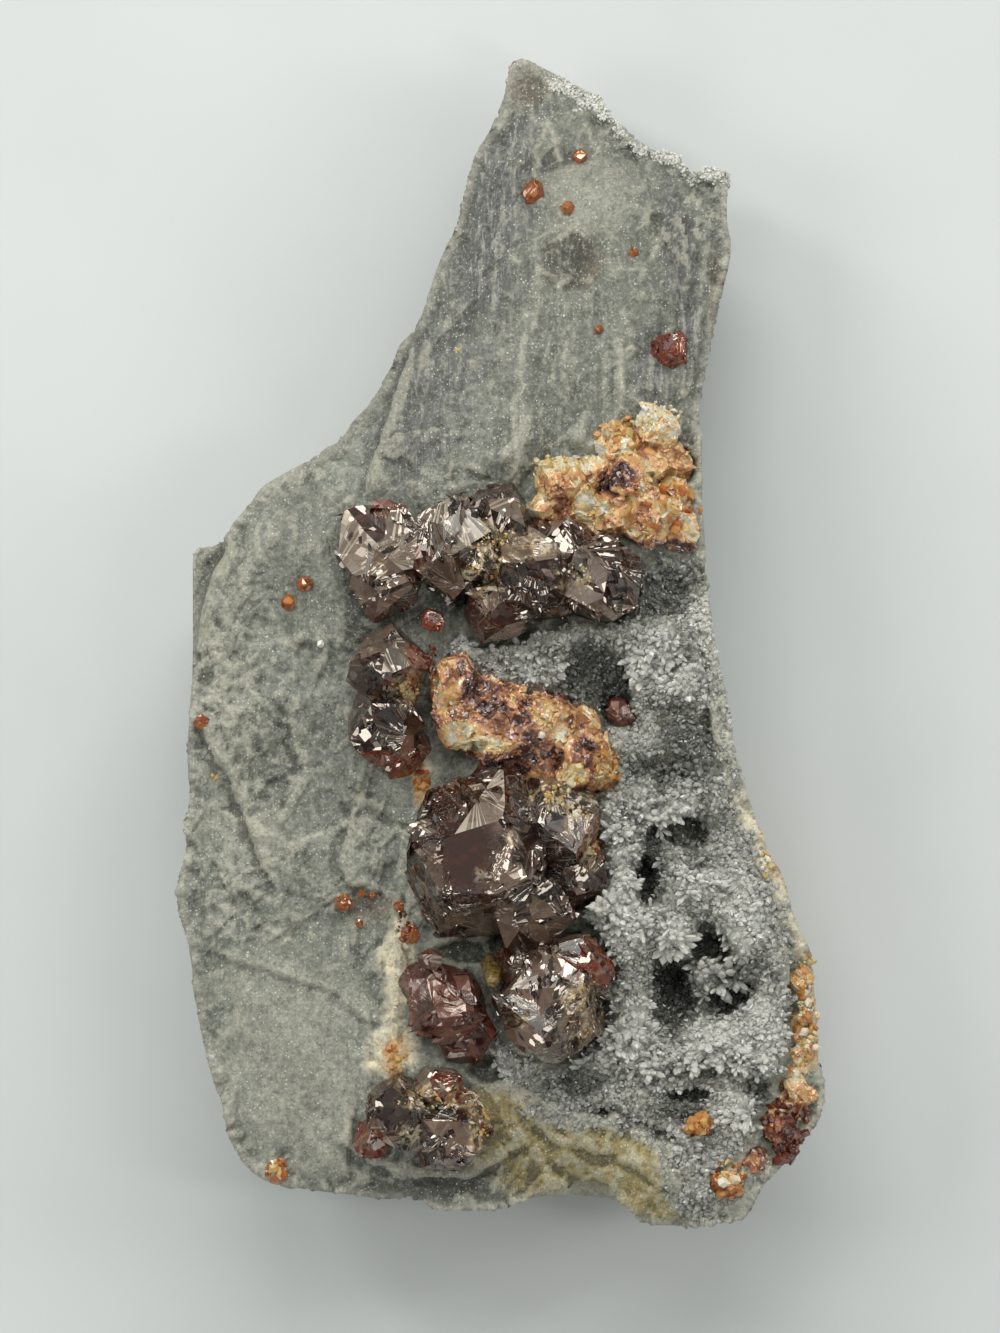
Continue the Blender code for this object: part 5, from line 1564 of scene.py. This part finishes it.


# %% [markdown]
# ### Points in tufts
# A tuft starts from one spot and its points lean away from each other. Points are longest on the
# cushions and shortest down in the hollows, where their tone is darkened as painted shade. Each
# carries how near its tip every corner is, since the tips are the clearest and catch the light;
# the finish paints them whiter as a painted highlight.

# %% Quartz points
def quartz_point(length, width, twist):
    """Corners of one crystal standing on the origin: a prism and its pyramid."""
    around = np.arange(6) * math.tau / 6 + twist
    ring = np.stack([np.cos(around) * width, np.sin(around) * width * 0.8], axis=1)
    low = np.column_stack([ring * 0.85, np.full(6, -0.25 * length)])
    shoulder = np.column_stack([ring, np.full(6, length - width * 1.2)])
    return np.concatenate([low, shoulder, [[width * 0.15, 0.0, length]]])


TUFT_SPACING = 0.98
TONE_SPREAD = 0.13  # by how much neighbouring crystals differ in tone
POINT_FACES = [(n, (n + 1) % 6, 6 + (n + 1) % 6, 6 + n) for n in range(6)]
POINT_FACES += [(6 + n, 6 + (n + 1) % 6, 12) for n in range(6)] + [tuple(range(5, -1, -1))]
POINT_TIP = [0.0] * 6 + [0.75] * 6 + [1.0]


def spaced_places(spacing, seed):
    """Spots over the druse, none nearer to another than the spacing."""
    rng = random.Random(seed)
    cell = spacing / math.sqrt(2)
    taken = {}
    rows, columns = np.nonzero(blurred(crust_inside, 0.5) > 0.6)
    order = list(range(len(rows)))
    rng.shuffle(order)
    found = []
    for n in order:
        x = GRID_X[columns[n]] + rng.uniform(-0.5, 0.5) * GRID
        y = GRID_Y[rows[n]] + rng.uniform(-0.5, 0.5) * GRID
        key = (int(x // cell), int(y // cell))
        near = (taken.get((key[0] + i, key[1] + j)) for i in range(-2, 3) for j in range(-2, 3))
        if any(p and math.dist(p, (x, y)) < spacing for p in near):
            continue
        taken[key] = (x, y)
        found.append((x, y, rows[n], columns[n]))
    return found


# how far the crust lies below its surroundings: it shortens the points, and drives the painted shade of the
# hollows
crust_depth = blurred(crust_top, 3.0) - blurred(crust_top, 0.5) + 1.0 * hollow_field - 0.3
crust_depth += 0.6 * clouds(4.5, 4.5, 3, 157, 2.5)


def quartz_points(places, seed):
    """All the points: their corners, faces, and how near the tip and how pale each is."""
    rng = random.Random(seed)
    slope_y, slope_x = np.gradient(blurred(crust_top, 0.8), GRID)
    size_map = clouds(3.0, 3.0, 2, 151)
    corners, faces, tips, tones = [], [], [], []
    for x, y, row, column in places:
        garnet = solid_garnets[row, column]
        if np.isfinite(garnet) and garnet > crust_top[row, column]:
            continue
        up = Vector((-slope_x[row, column], -slope_y[row, column], 1.1)).normalized()
        deep = max(0.0, min(1.0, crust_depth[row, column] / 1.2))
        rosette = rosette_field[row, column]
        stature = (0.55 + 0.28 * size_map[row, column] + 0.45 * rosette) * (1 - 0.4 * deep)
        # painted shade: points down in the hollows get a darker tone
        pale = 0.58 + 0.25 * rosette - 0.8 * deep + 0.2 * size_map[row, column] + 0.45 * pallor[row, column]
        root = Vector((x, y, crust_top[row, column] - 0.2))
        for _ in range(rng.randint(4, 8) if rosette < 0.5 else rng.randint(9, 14)):
            lean = Vector((rng.gauss(0, 0.75), rng.gauss(0, 0.75), 0.0))
            toward = (up + lean).normalized()
            length = max(0.3, stature * rng.uniform(0.5, 1.7))
            width = min(0.22 * rng.uniform(0.5, 1.8) * (0.8 + stature * 0.5), length * 0.42)
            turn = Vector((0, 0, 1)).rotation_difference(toward).to_matrix()
            foot = root + Vector((lean.x, lean.y, 0)) * 0.3
            shape = quartz_point(length, width, rng.uniform(0, 1))
            first = len(corners) * len(POINT_TIP)
            corners.append(shape @ np.array(turn).T + np.array(foot))
            faces += [tuple(first + corner for corner in face_) for face_ in POINT_FACES]
            tips += POINT_TIP
            tones += [max(0.0, min(1.0, pale + rng.gauss(0, TONE_SPREAD)))] * len(POINT_TIP)
    return np.concatenate(corners), faces, tips, tones


tufts = spaced_places(TUFT_SPACING, 21)
point_corners, point_faces, point_tips, point_tones = quartz_points(tufts, 22)
points_piece = add_mesh("quartz_points", point_corners, point_faces)
points_piece.data.shade_flat()
paint(points_piece, "tip", point_tips)
paint(points_piece, "tone", point_tones)
print(len(tufts), "tufts have", len(point_corners) // len(POINT_TIP), "points")


# %% [markdown]
# ### Sugar between the tufts
# Between the tufts, over the druse's margin and along the crest at the tip, the quartz is only a
# sugar of grains under half a millimetre. Each grain is the six-sided end of a crystal, turned at
# random, and nearly buried.

# %% Quartz sugar
GRAIN_FACES = [(n, (n + 1) % 6, 6) for n in range(6)] + [((n + 1) % 6, n, 7) for n in range(6)]
quartz_top = np.where(crust_inside, crust_top, face)
druse_chance = ramp(druse_margin, 0.05, 0.2) * (PLACE_X > 14 + 0.25 * PLACE_Y) * slab_mask
druse_chance *= 1 - 0.9 * spots_field(CREAM_SPOTS, 93, 0.6)
druse_chance = np.where(crust_inside, 1.0, druse_chance)
# paler in the milky places, and darker down in the hollows as painted shade
druse_pallor_and_shade = 0.55 + 0.45 * pallor - 0.8 * np.clip(crust_depth / 1.2, 0, 1) * crust_inside


def quartz_sugar(name, share, pallor_map, mean_size, count, seed):
    """Small double pyramids half sunk in the surface, as one piece with a tone for each grain."""
    rng = np.random.default_rng(seed)
    rows, columns = np.nonzero(share > 0.15)
    chosen = rng.choice(len(rows), count, p=share[rows, columns] / share[rows, columns].sum())
    rows, columns = rows[chosen], columns[chosen]
    garnet = np.nan_to_num(solid_garnets[rows, columns], nan=-1.0)
    bare = garnet < quartz_top[rows, columns]
    rows, columns = rows[bare], columns[bare]
    around = np.arange(6) * math.tau / 6
    shape = np.column_stack([np.cos(around), np.sin(around), np.zeros(6)])
    shape = np.concatenate([shape, [[0, 0, 1.5], [0, 0, -1.5]]])
    corners, faces, tones = [], [], []
    for n, (row, column) in enumerate(zip(rows, columns)):
        axes = np.linalg.qr(rng.normal(size=(3, 3)))[0]
        axes[:, 0] *= np.sign(np.linalg.det(axes))
        size = mean_size * 2.6 ** rng.uniform(-0.5, 0.8)
        shift = rng.uniform(-0.5, 0.5, 2) * GRID
        place = (GRID_X[column] + shift[0], GRID_Y[row] + shift[1],
                 quartz_top[row, column] + size * rng.uniform(-0.2, 0.6))
        corners.append(shape * size @ axes.T + np.array(place))
        faces += [tuple(n * len(shape) + corner for corner in face_) for face_ in GRAIN_FACES]
        tone = float(np.clip(pallor_map[row, column] + rng.normal(0, TONE_SPREAD), 0, 1))
        tones += [tone] * len(shape)
    piece = add_mesh(name, np.concatenate(corners), faces)
    piece.data.shade_flat()
    paint(piece, "tip", np.full(len(tones), 0.6))
    paint(piece, "tone", tones)
    print(name, "has", len(rows), "grains")
    return piece


sugar_piece = quartz_sugar("quartz_sugar", druse_chance, druse_pallor_and_shade, 0.17, count=12000, seed=31)
crest_pallor = 0.68 + 0.35 * clouds(1.6, 1.6, 3, 251)
crest_piece = quartz_sugar("crest_sugar", on_crest * slab_mask, crest_pallor, 0.1, count=1500, seed=33)


# %% [markdown]
# ### Finish of the quartz
# Small clear crystals in a heap look grey-white: dark between them, bright at their tips. The
# dark is painted shade on the crust and on the deep points, and the bright tips are a painted
# highlight. They let some of the light through and have the refractive index of quartz.

# %% Quartz finishes
def quartz_points_finish(name, dull, clear, roughness):
    f = new_finish(name)
    tip = f.painted("tip")
    tone = f.painted("tone")
    # painted highlight: each point is painted whiter towards its tip
    colour = f.mix(tip.between(0.1, 1.0), rgb(0.76, 0.77, 0.71), rgb(0.98, 0.98, 0.93))
    colour = f.mix((1 - tone).between(0.05, 1.0) * 0.92, colour, dull)
    warm = f.noise(0.22, 3.0).between(0.55, 0.75)
    colour = f.mix(warm * 0.2, colour, rgb(0.7, 0.62, 0.42))
    return complete(f, {"Base Color": colour, "Roughness": roughness, "IOR": 1.54,
                        "Transmission Weight": clear})


def quartz_crust_finish():
    f = new_finish("sugary_quartz")
    cloud = f.noise(0.5, 4.0, 0.6)
    colour = f.mix(cloud.between(0.38, 0.66), rgb(0.2, 0.205, 0.17), rgb(0.42, 0.425, 0.365))
    pale = f.painted("pallor")
    colour = f.mix(pale.between(0.0, 1.0) * 0.7, colour, rgb(0.64, 0.65, 0.6))
    colour = f.mix((0 - pale).between(0.0, 0.9) * 0.8, colour, rgb(0.06, 0.065, 0.054))
    # painted shade: the crust is painted near black where it lies deep
    deep = f.painted("depth")
    colour = f.mix(deep.between(0.1, 1.1) * 0.88, colour, rgb(0.03, 0.034, 0.028))
    speckle = f.noise(3.5, 3.0, 0.7)
    colour = f.mix(speckle.between(0.5, 0.72) * 0.4 * (1 - deep.between(0.2, 1.0) * 0.7), colour,
                   rgb(0.6, 0.61, 0.57))
    leaning = f.plates(1.5) * 0.9 + f.plates(3.4) * 0.8
    return complete(f, {"Base Color": colour, "Roughness": 0.18, "IOR": 1.54,
                        "Normal": f.bump(leaning, 1.0)})


# the depth is kept on the crust for its painted shade
paint(crust, "depth", np.tile(crust_depth.ravel()[crust_used], 2))
paint(crust, "pallor", np.tile(pallor.ravel()[crust_used], 2))
finish_piece(crust, "quartz_druse", quartz_crust_finish(), "quartz")
clear_quartz = quartz_points_finish("clear_quartz_points", rgb(0.12, 0.128, 0.106), 0.5, 0.22)
for piece in (points_piece, sugar_piece):
    finish_piece(piece, "quartz_druse", clear_quartz, "quartz")
crest_piece.data.materials.append(quartz_points_finish("milky_quartz", rgb(0.2, 0.205, 0.16), 0.3, 0.3))
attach(crest_piece, "root")
print("the druse is finished")


# %% [markdown]
# ## Crumbs of orange garnet and cream calcite
# Between the big crystals and on the orange mass lies a crumble of small grains: red-brown,
# orange, gold, cream and white. Each grain is a tiny crystal turned at random, sunk halfway into
# what it lies on. Each row has a patch's middle, its two half widths, how many grains it gets,
# their usual size, and their tones, which run from 0 for red-brown to 1 for white.

# %% Patches of crumbs
Patch = namedtuple("Patch", "x y wide tall count size tone")
CRUMB_PATCHES = (
    # on the orange mass
    (5.6, 18.3, 3, 0.9, 30, 0.36, (0.62, 0.88)), (13.4, 21.5, 3, 2, 50, 0.42, (0.55, 0.85)),
    (16.5, 23.2, 2.6, 1.7, 140, 0.26, (0.74, 1.00)), (17.2, 13.6, 3.6, 3.6, 40, 0.5, (0.34, 0.66)),
    # on the dark crystals
    (-1.6, 8, 2.2, 2.8, 60, 0.17, (0.6, 0.95)), (-0.2, 10.6, 1.6, 1, 40, 0.18, (0.6, 0.85)),
    (7.6, 6.8, 1.8, 1.2, 30, 0.16, (0.75, 0.98)), (-9.8, -5.6, 1.6, 1.5, 40, 0.18, (0.5, 0.8)),
    (-7.6, -2.2, 0.8, 1.8, 30, 0.36, (0.02, 0.26)), (-4.3, -8.6, 2, 2.4, 36, 0.24, (0.6, 0.98)),
    (-1.4, -11.4, 2.8, 0.9, 40, 0.26, (0.6, 0.9)), (5, -8.4, 3.2, 2.2, 40, 0.28, (0.45, 1.00)),
    (7.4, -14.4, 1.8, 1.2, 40, 0.34, (0.6, 0.88)), (11.4, -13.8, 1.5, 2.6, 50, 0.4, (0.4, 0.78)),
    (5.6, -16.4, 1.4, 1.2, 50, 0.24, (0.62, 0.88)), (8.6, -18.2, 1.4, 1.2, 30, 0.18, (0.6, 0.9)),
    (10.2, -21.4, 0.9, 2, 20, 0.18, (0.45, 0.8)), (8.6, -38.6, 2, 3.4, 70, 0.14, (0.5, 0.92)),
    (-1, -35.2, 1, 1.2, 20, 0.28, (0.5, 0.75)), (-7.4, -48.4, 4, 1, 50, 0.2, (0.5, 0.95)),
    (-2.3, -51, 1.2, 2.4, 36, 0.2, (0.5, 0.9)),
    # in the seam of the rock, and along the slab's right edge
    (-11, -44, 1, 1.8, 14, 0.34, (0.45, 0.7)), (-10.2, -30, 0.8, 2.4, 30, 0.3, (0.02, 0.4)),
    (-11.2, -35.5, 0.8, 4, 14, 0.22, (0.8, 0.98)), (-8.4, -14.8, 0.8, 1.8, 36, 0.36, (0.3, 0.6)),
    (28, -21.6, 0.9, 3.6, 110, 0.3, (0.66, 1.00)), (32.4, -38.5, 1.2, 6, 140, 0.42, (0.45, 0.98)),
    (30, -50.6, 2.4, 3.6, 80, 0.46, (0.02, 0.32)), (30.2, -54.2, 1.6, 3.2, 90, 0.5, (0.00, 0.3)),
    (24, -56.6, 1.8, 2, 80, 0.48, (0.25, 0.98)), (20.8, -50.8, 1.4, 1.2, 50, 0.5, (0.45, 0.7)),
    # strays on the rock
    (-18.85, -0.6, 0.2, 0.3, 5, 0.62, (0.95, 1.00)), (-30, -14.5, 0.4, 0.3, 5, 0.32, (0.6, 0.75)),
    (-4.5, 30.5, 0.3, 0.3, 4, 0.24, (0.65, 0.75)), (-23.6, -55.6, 1, 1, 20, 0.36, (0.35, 0.9)),
)


def crumb_heap(patches, surface, seed):
    """Grains scattered over patches, with a tone for each."""
    rng = random.Random(seed)
    shape_faces = [tuple(polygon.vertices) for polygon in SMALL_CRYSTAL.polygons]
    corners, faces, tones = [], [], []
    for patch in itertools.starmap(Patch, patches):
        for _ in range(patch.count):
            around, away = rng.uniform(0, math.tau), math.sqrt(rng.random()) * rng.uniform(0.7, 1.1)
            x = patch.x + patch.wide * away * math.cos(around)
            y = patch.y + patch.tall * away * math.sin(around)
            z = surface[nearest_cell(x, y)]
            if not np.isfinite(z):
                continue
            size = patch.size * 0.6 * 2.6 ** rng.uniform(-1, 0.55)
            stretch = Matrix.Diagonal([rng.uniform(0.45, 1.5) for _ in range(3)])
            turn = Matrix.Rotation(rng.uniform(0, math.tau), 3, Vector([rng.gauss(0, 1) for _ in range(3)]))
            grain = CORNERS @ np.array(stretch @ Matrix.Scale(size, 3)).T @ np.array(turn).T
            first = len(corners) * len(CORNERS)
            corners.append(grain + np.array([x, y, z + size * rng.uniform(-0.45, 0.25)]))
            faces += [tuple(first + corner for corner in face_) for face_ in shape_faces]
            tones += [rng.uniform(*patch.tone)] * len(shape_faces)
    return np.concatenate(corners), faces, tones


def crumb_finish():
    f = new_finish("garnet_and_calcite_crumbs")
    tone = f.painted("tone") + (f.noise(2.5, 3.0) - 0.5) * 0.22
    stops = ((0.0, rgb(0.06, 0.012, 0.008)), (0.22, rgb(0.17, 0.035, 0.012)),
             (0.42, rgb(0.46, 0.12, 0.02)), (0.58, rgb(0.55, 0.27, 0.06)),
             (0.72, rgb(0.62, 0.45, 0.16)), (0.86, rgb(0.7, 0.62, 0.42)), (1.0, rgb(0.88, 0.87, 0.82)))
    colour = f.node("ValToRGB", {"stops": stops}, {0: tone})
    pitted = f.bump(f.noise(5.0, 3.0, 0.6), 0.06, 0.6)
    return complete(f, {"Base Color": colour, "Roughness": 0.16 + tone * 0.4, "Normal": pitted, "IOR": 1.7,
                        "Transmission Weight": 0.15})


top_surface = heights_of([piece for piece in bpy.data.objects if piece.name.startswith("crystals_")])
top_surface = np.fmax(top_surface, np.where(crust_inside, crust_top, face))
top_surface[~slab_mask] = np.nan
crumb_corners, crumb_faces, crumb_tones = crumb_heap(CRUMB_PATCHES, top_surface, 77)
crumbs = add_mesh("garnet_crumbs", crumb_corners, crumb_faces)
crumbs.data.shade_flat()
paint(crumbs, "tone", crumb_tones, "FACE")
crumbs.data.materials.append(crumb_finish())
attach(crumbs, "root")
print("scattered", len(crumb_corners) // len(CORNERS), "crumbs")


# %% [markdown]
# ## The epidote crystal
# A stubby prism of amber-brown epidote is wedged between the two lower garnets. A cube is clipped
# by six upright planes and by six slanting ones at its end, and then leaned back.

# %% Epidote
def epidote_finish():
    f = new_finish("epidote_gloss")
    streak = f.noise(1.2, 4.0, 0.6, (1.0, 0.25, 1.0))
    colour = f.mix(streak.between(0.35, 0.7), rgb(0.17, 0.095, 0.018), rgb(0.46, 0.34, 0.12))
    ridged = f.bump(streak, 0.15, 0.7)
    return complete(f, {"Base Color": colour, "Roughness": 0.12, "Normal": ridged, "IOR": 1.73,
                        "Transmission Weight": 0.3})


def epidote_crystal():
    bm = bmesh.new()
    bmesh.ops.create_cube(bm, size=20)
    for step in range(6):
        around = math.radians(60 * step + 15)
        side = Vector((math.cos(around), 0.75 * math.sin(around), 0.12)).normalized()
        clipped(bm, side, 0.85)
        clipped(bm, Vector((0.5 * math.cos(around), 0.5 * math.sin(around), 1)).normalized(), 1.9)
    clipped(bm, Vector((0, 0, -1)), 3.0)
    bm.transform(Matrix.Translation((-0.8, -35.4, bed_at(-0.8, -35.4) + 1.6)) @
                 Matrix.Rotation(math.radians(18), 4, "X"))
    return joined("epidote_prism", [(mesh_of(bm, "epidote"), Matrix())])


finish_piece(epidote_crystal(), "epidote_crystal", epidote_finish(), "epidote")
print("the epidote crystal is made")


# %% [markdown]
# ## Camera and light
# The slab lies flat and the camera looks straight down on it from a metre and a half, through a
# long lens, so that high and low places keep their sizes. The room is a dim tent with pale panes,
# brightest towards the top of the slab, with soft boxes that give the facets something to mirror.

# %% Camera
FACE_DISTANCE = 1500.0
CAMERA_PLACE = (-0.05, -2.94, 24.0 + FACE_DISTANCE)
VIEW_HEIGHT = 140.0  # what the frame takes in at the level of the rock's face, in millimetres


def set_camera():
    data = bpy.data.cameras.new("camera")
    data.sensor_fit = "VERTICAL"
    data.sensor_height = 36.0
    data.lens = data.sensor_height * FACE_DISTANCE / VIEW_HEIGHT
    data.clip_start = 0.01
    camera = put_in_scene("camera", data)
    camera.location = Vector(CAMERA_PLACE) * MM
    bpy.context.scene.camera = camera
    return camera


print("the camera's lens is", round(set_camera().data.lens, 1), "mm")


# %% Floor
def floor_finish():
    f = new_finish("pale_paper")
    fleck = f.noise(0.02, 3.0)
    colour = f.mix(fleck.between(0.3, 0.7), rgb(0.585, 0.618, 0.625), rgb(0.615, 0.648, 0.655))
    return complete(f, {"Base Color": colour, "Roughness": 0.9})


FLOOR_HALF = 900.0


def add_floor():
    corners = [(x * FLOOR_HALF, y * FLOOR_HALF, 0) for x, y in ((-1, -1), (1, -1), (1, 1), (-1, 1))]
    floor = add_mesh("floor", corners, [(0, 1, 2, 3)])
    floor.data.materials.append(floor_finish())
    return floor


print("made the", add_floor().name)


# %% Light
def add_softbox(name, place, size, brightness, tint=(1.0, 0.985, 0.94)):
    """A flat lamp that faces the slab, with sizes in millimetres; brightness 1 is white paper."""
    data = bpy.data.lights.new(name, "AREA")
    data.shape = "RECTANGLE"
    data.size, data.size_y = size[0] * MM, size[1] * MM
    data.energy = brightness * math.pi * data.size * data.size_y
    data.color = tint
    lamp = put_in_scene(name, data)
    lamp.location = Vector(place) * MM
    lamp.rotation_euler = (-Vector(place)).to_track_quat("-Z", "Y").to_euler()


def tent_world():
    """A dim room with pale panes: brighter above the slab's top end, darker towards its foot."""
    world = bpy.data.worlds.new("tent")
    f = Finish(world)
    split = f.node("SeparateXYZ", None, {0: f.node("TexCoord", output="Generated")})
    along = Wire(f, split.socket.node.outputs["Y"])
    high = Wire(f, split.socket.node.outputs["Z"])
    panes = f.node("TexNoise", None, {"Vector": f.node("TexCoord", output="Generated"),
                                      "Scale": 2.4, "Detail": 1.0})
    level = 0.02 + panes.between(0.46, 0.56) * 0.3
    level = level + along.between(0.1, 0.9) * 0.25 + high.between(0.95, 0.99) * 0.12
    background = f.node("Background", None, {"Color": rgb(0.97, 1.0, 0.99), "Strength": level})
    output = f.tree.nodes.new("ShaderNodeOutputWorld")
    f.tree.links.new(background.socket, output.inputs["Surface"])
    bpy.context.scene.world = world


tent_world()
Softbox = namedtuple("Softbox", "name place size brightness")
SOFTBOXES = (
    Softbox("top_softbox", (40, 430, 330), (460, 130), 9.4),
    Softbox("high_strip", (-60, 210, 470), (260, 60), 7.0),
    Softbox("upper_left_strip", (-330, 260, 330), (70, 260), 9.4),
    Softbox("left_window", (-350, 20, 330), (140, 260), 3.6),
    Softbox("right_softbox", (430, 40, 260), (90, 320), 5.6),
    Softbox("high_right_strip", (230, -60, 460), (50, 190), 8.0),
    Softbox("foot_strip", (-80, -400, 240), (340, 60), 7.0),
)
for softbox in SOFTBOXES:
    add_softbox(*softbox)
bpy.context.scene.view_settings.view_transform = "Standard"
print("lamps:", [lamp.name for lamp in bpy.data.objects if lamp.type == "LIGHT"])
